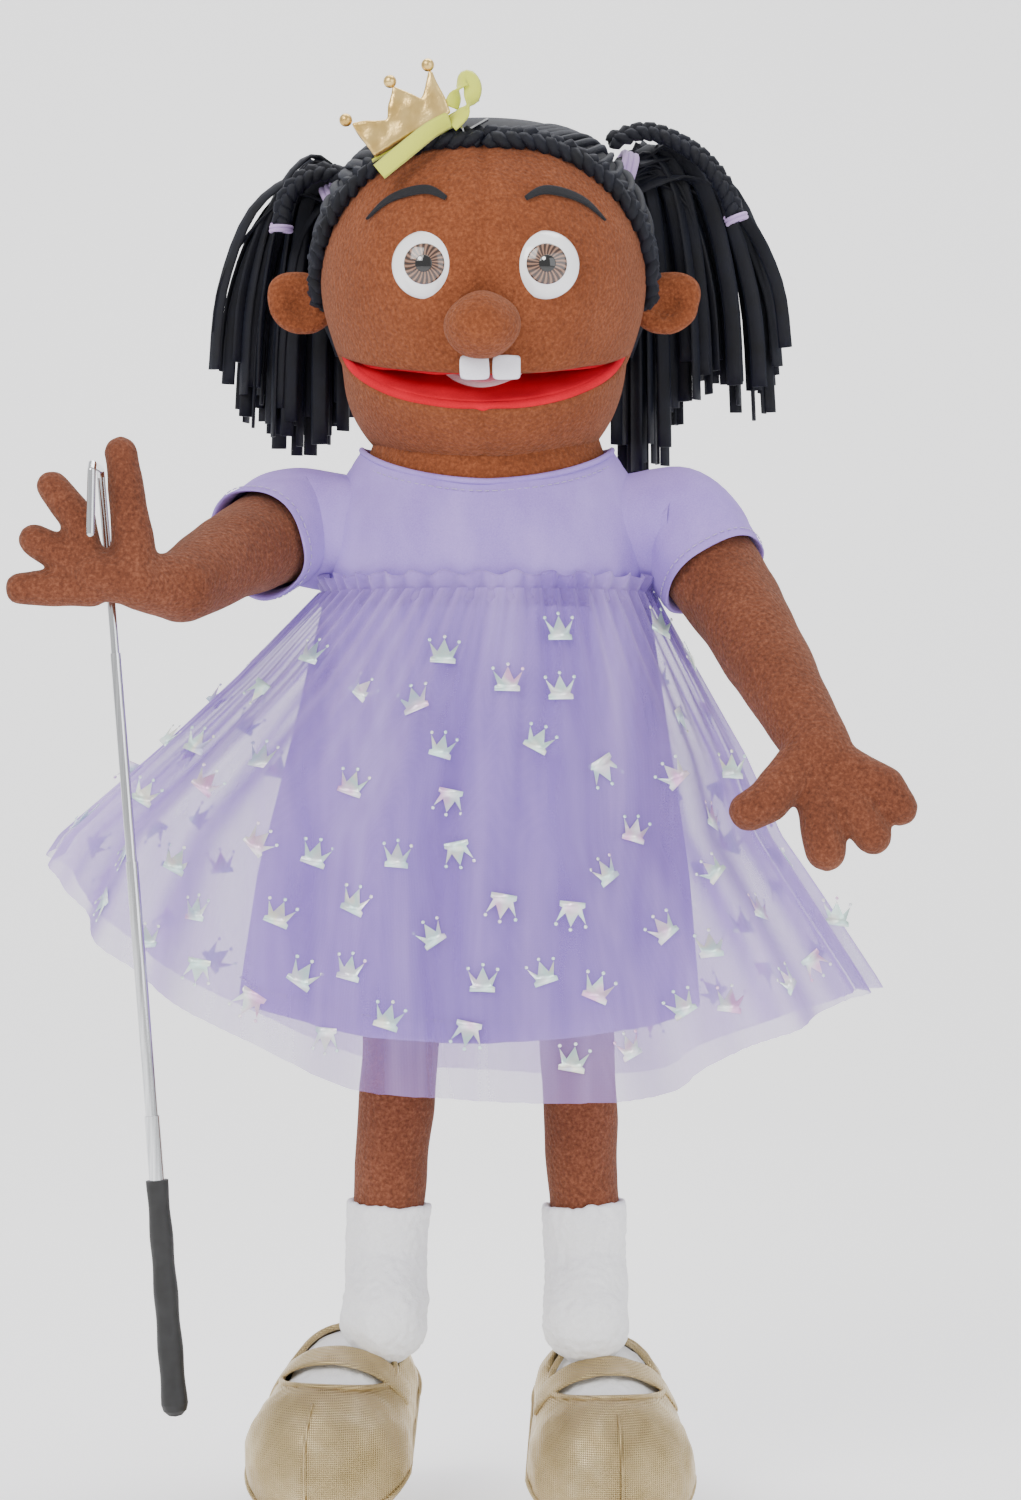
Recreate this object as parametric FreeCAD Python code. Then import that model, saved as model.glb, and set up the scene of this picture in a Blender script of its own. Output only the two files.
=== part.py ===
"""Soft hand puppet of a girl with a moving mouth, a dress and a telescopic arm rod.

Millimetres. +Z is up, the puppet faces -Y, and the origin is on the floor under the body's centre.
Left and right in the names are the puppet's own, so its left side is at +X.
"""

import FreeCAD, Part
import functools
import math
import os

from FreeCAD import Base

V = Base.Vector

# ---------------------------------------------------------------- driving dimensions
BODY_HALF_WIDTH = 72.0
BODY_HALF_DEPTH = 46.0
BODY_BOTTOM_Z = 300.0
BODY_TOP_Z = 477.0
FLEECE = 2.5
DRESS_GAP = 1.0
DRESS_CLOTH = 2.0
BODICE_BOTTOM_Z = 430.0
WAIST_Z = 428.0

NECK_CENTRE = V(0, 14, 496)
NECK_RADIUS = 36.0
NECK_BOTTOM_Z = 482.0
NECK_TOP_Z = 512.0

HEAD_CENTRE_X = -1.5
HEAD_WALL = 4.0
HINGE_Y = 0.0
HINGE_Z = 550.0
UPPER_LIP_TILT = 14.0
LOWER_LIP_TILT = 30.0
BOARD = 2.0
MOUTH_PLUSH = 2.0
JAW_NECK_CLEARANCE = 7.0

SHOULDER_X = 93.0
SHOULDER_Z = 466.0
ARM_ROOT_RADIUS = 25.0
SLEEVE_INNER = 26.0
SLEEVE_OUTER = 28.0
SHOULDER_BITE = 29.0
SLEEVE_ROOM = 38.0
RIGHT_ELBOW = V(-120, -48, 448)
LEFT_ELBOW = V(116, -24, 430)
SKIN = 1.6

HIP_Y = -15.0
LEG_TOP_Z = 276.0
LEG_RADIUS = 19.0
ANKLE_RADIUS = 16.5

HAND_Y = -100.0
ROD_TOP = V(-175, -83.5, 486)
ROD_END = V(-141, -83.5, 55)
WIRE_RADIUS = 1.9
TUBE_WALL = 0.4

EYE_RADIUS = 15.5
IRIS_RADIUS = 9.0
PUPIL_RADIUS = 3.9


# ---------------------------------------------------------------- small helpers
def save(name, *solids):
    """Write one node's STEP file."""
    shape = solids[0] if len(solids) == 1 else Part.makeCompound(list(solids))
    shape.exportStep("parts/" + name + ".step")


def fuse(pieces):
    """One solid from overlapping pieces."""
    first = pieces[0]
    return first.multiFuse(pieces[1:]).removeSplitter() if len(pieces) > 1 else first


def ball(centre, radius):
    return Part.makeSphere(radius, centre)


def link(a, b, ra, rb):
    """A round bar from a to b whose radius goes from ra to rb, without its end caps."""
    along = b - a
    if abs(ra - rb) < 1e-6:
        return Part.makeCylinder(ra, along.Length, a, along)
    return Part.makeCone(ra, rb, along.Length, a, along)


def limb(points, radii):
    """A rounded chain through points, one radius at each."""
    pieces = [ball(p, r) for p, r in zip(points, radii)]
    for i in range(len(points) - 1):
        pieces.append(link(points[i], points[i + 1], radii[i], radii[i + 1]))
    return fuse(pieces)


def oval(half_x, half_y, z):
    """An oval face round the body."""
    ellipse = Part.Ellipse(V(0, 0, z), half_x, half_y)
    return Part.Face(Part.Wire(ellipse.toShape()))


def leaf_wire(half_x, half_y, z, centre_x, power, count=16):
    """A closed outline round the body: an oval at power 1, pointed at both sides at power 2."""
    points = []
    for i in range(count):
        t = 2 * math.pi * i / count
        s = math.sin(t)
        y = half_y * math.copysign(abs(s) ** power, s)
        points.append(V(centre_x + half_x * math.cos(t), y, z))
    return Part.makePolygon(points + [points[0]])


def oval_tube(half_x, half_y, wall, low, high):
    """An upright oval tube."""
    outer = oval(half_x, half_y, low).extrude(V(0, 0, high - low))
    inner = oval(half_x - wall, half_y - wall, low).extrude(V(0, 0, high - low))
    return outer.cut(inner)


@functools.cache
def turned(profile, inset=0.0):
    """A head-like solid: a (radius, height) outline turned round the head's upright axis."""
    middle = (profile[0][1] + profile[-1][1]) / 2
    half = (profile[-1][1] - profile[0][1]) / 2
    share = 1 - inset / half
    points = []
    for radius, z in profile:
        points.append(V(max(radius - inset, 0.0), 0, middle + (z - middle) * share))
    face = Part.Face(Part.makePolygon(points + [points[0]]))
    solid = face.revolve(V(0, 0, 0), V(0, 0, 1), 360)
    solid.translate(V(HEAD_CENTRE_X, 0, 0))
    return solid


def wedge_below(tilt, lift=0.0, back=0.0):
    """Everything in front of the mouth hinge and under a plane that drops to the front by tilt."""
    box = Part.makeBox(300, 200, 200, V(-150, -200, -200))
    box.rotate(V(0, 0, 0), V(1, 0, 0), tilt)
    box.translate(V(0, HINGE_Y, HINGE_Z + lift))
    front = Part.makeBox(300, 200, 400, V(-150, HINGE_Y + back - 200, HINGE_Z - 200))
    return box.common(front)


def mouth_sheet(outline, tilt, low, high):
    """A flat sheet inside outline between two offsets from a mouth plane."""
    slab = Part.makeBox(300, 200, high - low, V(-150, -203, low))
    slab.rotate(V(0, 0, 0), V(1, 0, 0), tilt)
    slab.translate(V(0, HINGE_Y, HINGE_Z))
    return outline.common(slab)


# ---------------------------------------------------------------- body and dress
def shoulder(side):
    return V(side * SHOULDER_X, 0, SHOULDER_Z)


@functools.cache
def arm_room():
    """The space that the two sleeves turn in."""
    rooms = []
    for side, elbow in ((-1, RIGHT_ELBOW), (1, LEFT_ELBOW)):
        start = shoulder(side)
        reach = start + (elbow - start).normalize() * SLEEVE_ROOM
        rooms.append(limb([start, reach], [SHOULDER_BITE, SHOULDER_BITE]))
    return Part.makeCompound(rooms)


def body_sleeve():
    """The fleece body that the operator's hand goes up: open below, a neck hole above."""
    tube = oval_tube(BODY_HALF_WIDTH, BODY_HALF_DEPTH, FLEECE, BODY_BOTTOM_Z, BODY_TOP_Z)
    lid = oval(BODY_HALF_WIDTH, BODY_HALF_DEPTH, BODY_TOP_Z - FLEECE)
    lid = lid.extrude(V(0, 0, FLEECE))
    hole = Part.makeCylinder(NECK_RADIUS - 5, 20, V(0, NECK_CENTRE.y - 3, BODY_TOP_Z - 10))
    body = tube.fuse(lid.cut(hole)).removeSplitter()
    return body.cut(arm_room())


def bodice():
    """The dress top, a plush band round the chest."""
    grow = DRESS_GAP + DRESS_CLOTH
    tube = oval_tube(BODY_HALF_WIDTH + grow, BODY_HALF_DEPTH + grow, DRESS_CLOTH, BODICE_BOTTOM_Z, BODY_TOP_Z)
    return tube.cut(arm_room())


def neckline_binding():
    """The stitched edge that closes the dress top over the shoulders, with the neck hole in it."""
    grow = DRESS_GAP + DRESS_CLOTH
    lid = oval(BODY_HALF_WIDTH + grow, BODY_HALF_DEPTH + grow, BODY_TOP_Z)
    lid = lid.extrude(V(0, 0, DRESS_CLOTH))
    hole = Part.makeCylinder(NECK_RADIUS + 1, 20, V(0, NECK_CENTRE.y - 1, BODY_TOP_Z - 10))
    ring = lid.cut(hole)
    return ring.cut(arm_room())


def waist_ruffle():
    """The gathered heading where the tulle is sewn to the dress top."""
    grow = DRESS_GAP + DRESS_CLOTH + 0.2
    low = WAIST_Z + 2
    return oval_tube(BODY_HALF_WIDTH + grow + 4, BODY_HALF_DEPTH + grow + 4, 4, low, low + 7).cut(arm_room())


def skirt_cut(points, depth=260.0):
    """Everything above a hem curve given as (x, z) points."""
    curve = Part.BSplineCurve()
    curve.interpolate([V(x, -depth / 2, z) for x, z in points])
    first = V(points[0][0], -depth / 2, points[0][1])
    last = V(points[-1][0], -depth / 2, points[-1][1])
    high_first = V(first.x, first.y, 520)
    high_last = V(last.x, last.y, 520)
    outline = Part.Wire([
        curve.toShape(),
        Part.makeLine(last, high_last),
        Part.makeLine(high_last, high_first),
        Part.makeLine(high_first, first),
    ])
    return Part.Face(outline).extrude(V(0, depth, 0))


def flared(sections, wall):
    """A cloth shell through (z, centre_x, half_x, half_y, power) sections."""
    outer = [leaf_wire(hx, hy, z, cx, p) for z, cx, hx, hy, p in sections]
    inner = [leaf_wire(hx - wall, hy - wall, z, cx, p) for z, cx, hx, hy, p in sections]
    return Part.makeLoft(outer, True, True).cut(Part.makeLoft(inner, True, True))


def skirt_lining():
    """The plush underskirt."""
    sections = [(WAIST_Z + 1, 0, 76.5, 50.5, 1.0), (340, -6, 95, 61, 1.0), (215, -11, 111, 68, 1.0)]
    hem = [(-135, 244), (6, 222), (125, 242)]
    return flared(sections, DRESS_CLOTH).common(skirt_cut(hem))


def tulle_overskirt():
    """The sheer overskirt, wide and pointed at both sides."""
    sections = [
        (WAIST_Z + 1, 0, 80, 54, 1.0),
        (376, -15, 128, 68, 1.2),
        (318, -34, 172, 74, 1.5),
        (190, -32, 250, 77, 1.7),
    ]
    hem = [(-225, 338), (-172, 260), (-60, 203), (60, 200), (200, 252)]
    return flared(sections, 1.2).common(skirt_cut(hem))


# ---------------------------------------------------------------- head
HEAD_PROFILE = (
    (0, 504), (30, 508), (52, 520), (64, 535), (71.5, 552),
    (76.5, 568), (78.5, 590), (75, 611), (66, 630), (51, 645), (30, 654), (0, 657.5),
)
JAW_PROFILE = ((0, 492), (28, 493.5), (46, 499), (58.5, 511), (66, 528), (69.5, 552), (60, 580), (0, 600))


def head_shell():
    """The fleece and foam wall of the head, hollow for the operator's fingers."""
    hollow = turned(HEAD_PROFILE, HEAD_WALL)
    floor = wedge_below(UPPER_LIP_TILT, 0.0, 6.0)
    shell = turned(HEAD_PROFILE).cut(hollow).cut(floor)
    return shell.cut(ball(NECK_CENTRE, NECK_RADIUS + 1))


def head_foam():
    """The block of foam in the crown of the head, above the fingers."""
    room = turned(HEAD_PROFILE, HEAD_WALL + 0.1)
    return room.common(Part.makeBox(300, 300, 100, V(-150, -150, 606)))


def upper_board():
    """The stiff board behind the roof of the mouth."""
    room = turned(HEAD_PROFILE, HEAD_WALL + 0.2)
    return mouth_sheet(room, UPPER_LIP_TILT, MOUTH_PLUSH, MOUTH_PLUSH + BOARD)


def upper_mouth_lining():
    """The red plush roof of the mouth."""
    room = turned(HEAD_PROFILE, HEAD_WALL + 0.2)
    return mouth_sheet(room, UPPER_LIP_TILT, 0.1, MOUTH_PLUSH - 0.05)


def front_teeth():
    """Two felt teeth hanging from the upper lip."""
    teeth = []
    for x in (-12.2, 3.2):
        tooth = Part.makeBox(12.8, 1.6, 13, V(x, -69.5, 523))
        tooth = tooth.makeFillet(2.0, [e for e in tooth.Edges if abs(e.BoundBox.YLength - 1.6) < 0.1])
        teeth.append(tooth)
    return teeth


def nose():
    """The round stuffed nose."""
    return ball(V(-1.7, -80, 552.5), 15.5).cut(turned(HEAD_PROFILE))


def ear(side):
    """A flat stuffed ear."""
    disc = Part.makeCylinder(14, 11, V(side * 86, 0, 574), V(0, 1, 0))
    return disc.cut(turned(HEAD_PROFILE))


def eyebrow(side):
    """An arched felt eyebrow on the brow."""
    centre = V(side * 33, -64, 574.5)
    ring = Part.makeCylinder(42, 1.5, centre, V(0, 1, 0)).cut(Part.makeCylinder(38, 1.5, centre, V(0, 1, 0)))
    window = Part.makeBox(38, 60, 30, V(side * 36 - 19, -90, 602))
    return ring.common(window).cut(turned(HEAD_PROFILE))


EYE_Y = -73.0
EYE_Z = 581.0
EYE_X = 26.5


def eye(side):
    """The plastic eye: a domed white, an iris ring, a pupil, and the lock washer inside the head."""
    centre = V(side * EYE_X, EYE_Y, EYE_Z)
    back = centre + V(0, 8, 0)
    rim = Part.makeCylinder(EYE_RADIUS, 16, back, V(0, -1, 0))
    white = ball(centre + V(0, 14.5, 0), 22.5).common(rim).cut(turned(HEAD_PROFILE))
    post = Part.makeCylinder(2.5, 30, centre + V(0, -5, 0), V(0, 1, 0))
    iris_disc = Part.makeCylinder(IRIS_RADIUS, 1.0, centre + V(0, -5.2, 0), V(0, -1, 0))
    pupil_disc = Part.makeCylinder(PUPIL_RADIUS, 1.4, centre + V(0, -5.2, 0), V(0, -1, 0))
    white = white.fuse(post).cut(iris_disc).cut(pupil_disc)
    washer_back = centre + V(0, 20, 0)
    washer = Part.makeCylinder(8, 1.5, washer_back, V(0, 1, 0))
    washer = washer.cut(Part.makeCylinder(2.5, 1.5, washer_back, V(0, 1, 0)))
    white = max(white.Solids, key=lambda solid: solid.Volume)
    return white, iris_disc.cut(pupil_disc), pupil_disc, washer, post


def hair_cap():
    """The knitted hair cap, from the hairline over the top and back of the head to the nape."""
    cap = turned(HEAD_PROFILE, -3.0).cut(turned(HEAD_PROFILE))
    hairline = [(-50, 650), (-200, 650), (-200, 400), (300, 400), (300, 545), (18, 545)]
    points = [V(-150, y, z) for y, z in hairline]
    face = Part.Face(Part.makePolygon(points + [points[0]])).extrude(V(300, 0, 0))
    return cap.cut(face)


def ponytail(side, outline, y, depth):
    """A bunch of hair strips hanging behind the ear, as one closed bundle."""
    points = [V(side * x, y, z) for x, z in outline]
    return Part.Face(Part.makePolygon(points + [points[0]])).extrude(V(0, depth, 0))


LEFT_TAIL = [
    (70, 640), (88, 652), (118, 634), (136, 590), (146, 545), (112, 535), (92, 511), (76, 512), (76, 620),
]
RIGHT_TAIL = [
    (72, 630), (88, 642), (108, 610), (121, 580), (130, 552), (112, 536), (92, 520), (78, 524), (78, 610),
]


# ---------------------------------------------------------------- jaw
def jaw_shell():
    """The fleece chin and lower lip."""
    wall = turned(JAW_PROFILE).cut(turned(JAW_PROFILE, HEAD_WALL))
    jaw = wall.common(wedge_below(LOWER_LIP_TILT, 0.0, -1.0))
    return jaw.cut(ball(NECK_CENTRE, NECK_RADIUS + JAW_NECK_CLEARANCE))


def lower_board():
    """The stiff board under the tongue."""
    room = turned(JAW_PROFILE, HEAD_WALL + 0.2)
    return mouth_sheet(room, LOWER_LIP_TILT, -MOUTH_PLUSH - BOARD, -MOUTH_PLUSH)


def lower_mouth_lining():
    """The red plush floor of the mouth."""
    room = turned(JAW_PROFILE, HEAD_WALL + 0.2)
    return mouth_sheet(room, LOWER_LIP_TILT, -MOUTH_PLUSH + 0.05, -0.1)


def tongue():
    """A felt tongue, round at the tip, sewn to the back of the mouth floor."""
    back = V(HEAD_CENTRE_X, -14, 0)
    tip = V(HEAD_CENTRE_X, -42, 0)
    body = fuse([
        Part.makeCylinder(12, 1.0, tip),
        Part.Face(Part.makePolygon([
            back + V(-21, 0, 0), back + V(21, 0, 0), tip + V(11, -5, 0), tip + V(-11, -5, 0),
            back + V(-21, 0, 0),
        ])).extrude(V(0, 0, 1.0)),
    ])
    body.rotate(V(0, 0, 0), V(1, 0, 0), LOWER_LIP_TILT)
    body.translate(V(0, HINGE_Y, HINGE_Z))
    return body


# ---------------------------------------------------------------- neck
def neck_sleeve():
    """The round fleece neck that joins body and head; its ball shape lets the head nod and turn."""
    zone = ball(NECK_CENTRE, NECK_RADIUS).cut(ball(NECK_CENTRE, NECK_RADIUS - FLEECE))
    band = Part.makeBox(200, 200, NECK_TOP_Z - NECK_BOTTOM_Z, V(-100, -100, NECK_BOTTOM_Z))
    return zone.common(band)


# ---------------------------------------------------------------- crown clip
CLIP_PIVOT = V(-15, -58, 650)
CLIP_TILT = 30.0
CLIP_WIDTH = 5.0


def on_clip(shape):
    """Put a shape drawn along +X at the pin onto the head."""
    shape.rotate(V(0, 0, 0), V(0, 1, 0), -CLIP_TILT)
    shape.translate(CLIP_PIVOT)
    return shape


def clip_lower_jaw():
    """The fixed half of the alligator clip: a long blade, and the lower thumb tab."""
    blade = Part.makeBox(40, CLIP_WIDTH, 0.8, V(-42, -CLIP_WIDTH / 2, -3.4))
    tab = Part.makeBox(13, CLIP_WIDTH, 0.8, V(1, -CLIP_WIDTH / 2, -8.0))
    riser = Part.makeBox(0.8, CLIP_WIDTH, 5.4, V(1, -CLIP_WIDTH / 2, -8.0))
    bridge = Part.makeBox(4, CLIP_WIDTH, 0.8, V(-2.2, -CLIP_WIDTH / 2, -3.4))
    return on_clip(fuse([blade, bridge, riser, tab]))


def clip_upper_jaw():
    """The moving half of the clip: a blade with the crown on it, and the upper thumb tab."""
    blade = Part.makeBox(57, CLIP_WIDTH, 0.8, V(-42, -CLIP_WIDTH / 2, 2.0))
    return on_clip(blade)


def clip_pin():
    """The pin that both halves turn on."""
    return on_clip(Part.makeCylinder(0.9, CLIP_WIDTH + 2, V(0, -CLIP_WIDTH / 2 - 1, -0.4), V(0, 1, 0)))


def clip_spring():
    """The coil spring round the pin."""
    coil = Part.makeCylinder(1.9, CLIP_WIDTH - 1, V(0, -CLIP_WIDTH / 2 + 0.5, -0.4), V(0, 1, 0))
    return on_clip(coil.cut(Part.makeCylinder(1.0, CLIP_WIDTH, V(0, -CLIP_WIDTH / 2, -0.4), V(0, 1, 0))))


def crown_pad():
    """The padded crown with three points."""
    points = [(-40, 3), (0, 3), (1.5, 24), (-8.5, 14), (-17, 26), (-27, 14), (-42, 21)]
    flat = [V(x, -CLIP_WIDTH / 2 - 5.6, z) for x, z in points]
    outline = Part.makePolygon(flat + [flat[0]])
    return on_clip(Part.Face(outline).extrude(V(0, 5, 0)))


def crown_beads():
    """The three balls on the crown's points."""
    beads = []
    for x, z in ((1.9, 27.0), (-17, 29.1), (-43.5, 23.9)):
        beads.append(on_clip(ball(V(x, -CLIP_WIDTH / 2 - 3.1, z), 3.0)))
    return beads


# ---------------------------------------------------------------- arms and sleeves
def right_arm(inset=0.0):
    """The raised arm with a thumb and three fingers."""
    y = HAND_Y
    arm = limb(
        [shoulder(-1), RIGHT_ELBOW, V(-138, -84, 433), V(-156, y, 434)],
        [ARM_ROOT_RADIUS - inset, 20 - inset, 16.5 - inset, 12 - inset],
    )
    thumb_line = [V(-157, y, 438), V(-161, y, 470), V(-164, y, 492)]
    thumb = limb(thumb_line, [10.5 - inset, 8.2 - inset, 7.4 - inset])
    palm = limb([V(-158, y, 436), V(-176, y, 438)], [12 - inset, 11.5 - inset])
    first = limb([V(-180, y, 444), V(-183, y, 462), V(-195, y, 477)], [8.5 - inset, 7.8 - inset, 7.2 - inset])
    second = limb([V(-180, y, 442), V(-203, y, 453)], [9.0 - inset, 7.0 - inset])
    third = limb([V(-178, y, 432), V(-209, y, 431)], [9.0 - inset, 7.0 - inset])
    return fuse([arm, thumb, palm, first, second, third])


def left_arm(inset=0.0):
    """The hanging arm with a thumb and three fingers."""
    arm = limb(
        [shoulder(1), LEFT_ELBOW, V(135, -56, 392), V(152, -84, 358)],
        [ARM_ROOT_RADIUS - inset, 22 - inset, 18.5 - inset, 15 - inset],
    )
    y = -95
    thumb = limb([V(142, -88, 352), V(128, y, 336), V(119, y, 331)], [11 - inset, 9.5 - inset, 8.8 - inset])
    first = limb([V(150, -86, 346), V(152, y, 322), V(154, y, 313)], [11 - inset, 9.5 - inset, 9.2 - inset])
    second = limb([V(158, -86, 346), V(170, y, 328), V(175, y, 320)], [11 - inset, 9.3 - inset, 8.6 - inset])
    third_line = [V(160, -86, 352), V(180, -92, 342), V(187, -92, 333)]
    third = limb(third_line, [11 - inset, 9.3 - inset, 8.4 - inset])
    return fuse([arm, thumb, first, second, third])


def sleeve(side, arm_end, reach, flare):
    """A short sleeve: a ball round the shoulder that opens into a flared cuff."""
    start = shoulder(side)
    along = (arm_end - start).normalize()
    outer = fuse([ball(start, SLEEVE_OUTER), link(start, start + along * reach, SLEEVE_OUTER, flare)])
    inner_link = link(start, start + along * (reach + 1), SLEEVE_INNER, flare - 2)
    inner = fuse([ball(start, SLEEVE_INNER), inner_link])
    shell = outer.cut(inner)
    half = Part.makeBox(200, 200, 200, V(-100, -100, 4))
    turn = Base.Rotation(V(0, 0, 1), along)
    half.Placement = Base.Placement(start, turn).multiply(half.Placement)
    return shell.common(half)


# ---------------------------------------------------------------- telescopic rod
ROD_DOWN = (ROD_END - ROD_TOP).normalize()
HOOK_REACH = 34.0
HOOK_BEND = 3.0
HOOK_DROP = 28.0
HOOK_JOINT_Z = 450.0


def rod_point(z):
    """The point on the rod's axis at height z."""
    return ROD_TOP + ROD_DOWN * ((z - ROD_TOP.z) / ROD_DOWN.z)


def rod_hook():
    """The bent wire that hooks over the hand: rod side, over the thumb web, and down the palm."""
    low = rod_point(HOOK_JOINT_Z)
    back = V(ROD_TOP.x, ROD_TOP.y, ROD_TOP.z - HOOK_BEND)
    over = V(ROD_TOP.x, ROD_TOP.y - HOOK_BEND, ROD_TOP.z)
    across = V(ROD_TOP.x, ROD_TOP.y - HOOK_REACH + HOOK_BEND, ROD_TOP.z)
    front = V(ROD_TOP.x, ROD_TOP.y - HOOK_REACH, ROD_TOP.z - HOOK_BEND)
    end = front + V(-0.5, 0, -HOOK_DROP)
    wire = limb([low, back, over, across, front, end], [WIRE_RADIUS] * 6)
    wire = wire.cut(Part.makeCylinder(WIRE_RADIUS + 1, 10, low, ROD_DOWN))
    spigot = Part.makeCylinder(WIRE_RADIUS - TUBE_WALL, 16, low, ROD_DOWN)
    return wire.fuse(spigot).removeSplitter()


def tube(z_top, z_low, radius, bore):
    """One round tube of the rod."""
    top = rod_point(z_top)
    length = (rod_point(z_low) - top).Length
    body = Part.makeCylinder(radius, length, top, ROD_DOWN)
    if bore:
        body = body.cut(Part.makeCylinder(bore, length + 2, top - ROD_DOWN, ROD_DOWN))
    return body


def grip():
    """The rubber grip: a slightly tapered bar with a round end and shallow finger dips."""
    length = 108.0
    top = 5.2
    low = 6.2
    steps = 24
    points = [V(0, 0, 0)]
    for i in range(steps + 1):
        t = i / steps
        dip = 0.25 * math.cos(8 * math.pi * t)
        points.append(V(top + (low - top) * t + dip - 0.25, 0, -(length - 6) * t))
    for angle in (30, 60):
        turn = math.radians(angle)
        points.append(V(low * math.cos(turn), 0, -(length - 6) - 6 * math.sin(turn)))
    points.append(V(0, 0, -length))
    solid = Part.Face(Part.makePolygon(points + [points[0]])).revolve(V(0, 0, 0), V(0, 0, 1), 360)
    solid = solid.cut(Part.makeCylinder(3.5, 100, V(0, 0, -100)))
    solid.Placement = Base.Placement(rod_point(162.9), Base.Rotation(V(0, 0, -1), ROD_DOWN))
    return solid


# ---------------------------------------------------------------- legs
def leg_axis(side):
    """Hip end and ankle end of a leg."""
    if side < 0:
        return V(-37, HIP_Y, LEG_TOP_Z), V(-48, HIP_Y, 118)
    return V(41, HIP_Y, LEG_TOP_Z), V(47, HIP_Y, 118)


def leg(side, inset=0.0):
    """A stuffed leg."""
    hip, ankle = leg_axis(side)
    return limb([hip, ankle], [LEG_RADIUS - inset, ANKLE_RADIUS - inset])


def sock(side):
    """A short plush sock over the foot end of the leg."""
    hip, ankle = leg_axis(side)
    down = (ankle - hip).normalize()
    top = ankle - down * 26
    cuff = link(top, ankle, 19.5, 18.5)
    toe = ankle + V(0, -16, -28)
    body = fuse([cuff, ball(ankle, 18.5), link(ankle, toe, 18.5, 20), ball(toe, 20)])
    return body.cut(leg(side, -0.05))


SHOE_PITCH = 32.0
SHOE_HALF_WIDTH = 39.0


def shoe_place(side, shape):
    """Put a shoe drawn with its sole at z 0 and toe at -Y onto the foot."""
    lean = 14.0 if side < 0 else -6.0
    x = -69 if side < 0 else 56
    z = 48 if side < 0 else 43
    shape.rotate(V(0, 0, 0), V(1, 0, 0), SHOE_PITCH)
    shape.rotate(V(0, 0, 0), V(0, 0, 1), -lean)
    shape.translate(V(x, -46, z))
    return shape


def shoe_block(inset=0.0):
    """The rounded shoe: a wide toe ball run back to a smaller heel ball, above the sole plane."""
    last = limb([V(0, -21, -6), V(0, 26, -6)], [SHOE_HALF_WIDTH - inset, 31 - inset])
    return last.common(Part.makeBox(200, 200, 100, V(-100, -100, -14)))


def shoe_opening():
    """The foot opening with the strap's window, as a block to take away."""
    return Part.makeCylinder(25, 120, V(0, 22, 4))


def shoe_upper(side):
    """The shiny upper."""
    shell = shoe_block().cut(shoe_block(2.5)).cut(Part.makeBox(200, 200, 6, V(-100, -100, -15)))
    return shoe_place(side, shell.cut(shoe_opening()))


def shoe_sole(side):
    """The flat sole."""
    sole = shoe_block().common(Part.makeBox(200, 200, 4.8, V(-100, -100, -14)))
    return shoe_place(side, sole)


def shoe_strap(side):
    """The strap across the instep."""
    ring = shoe_block(-2.2).cut(shoe_block(-0.1))
    band = Part.makeBox(62, 13, 60, V(-31, 4, 22))
    return shoe_place(side, ring.common(band))


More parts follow.
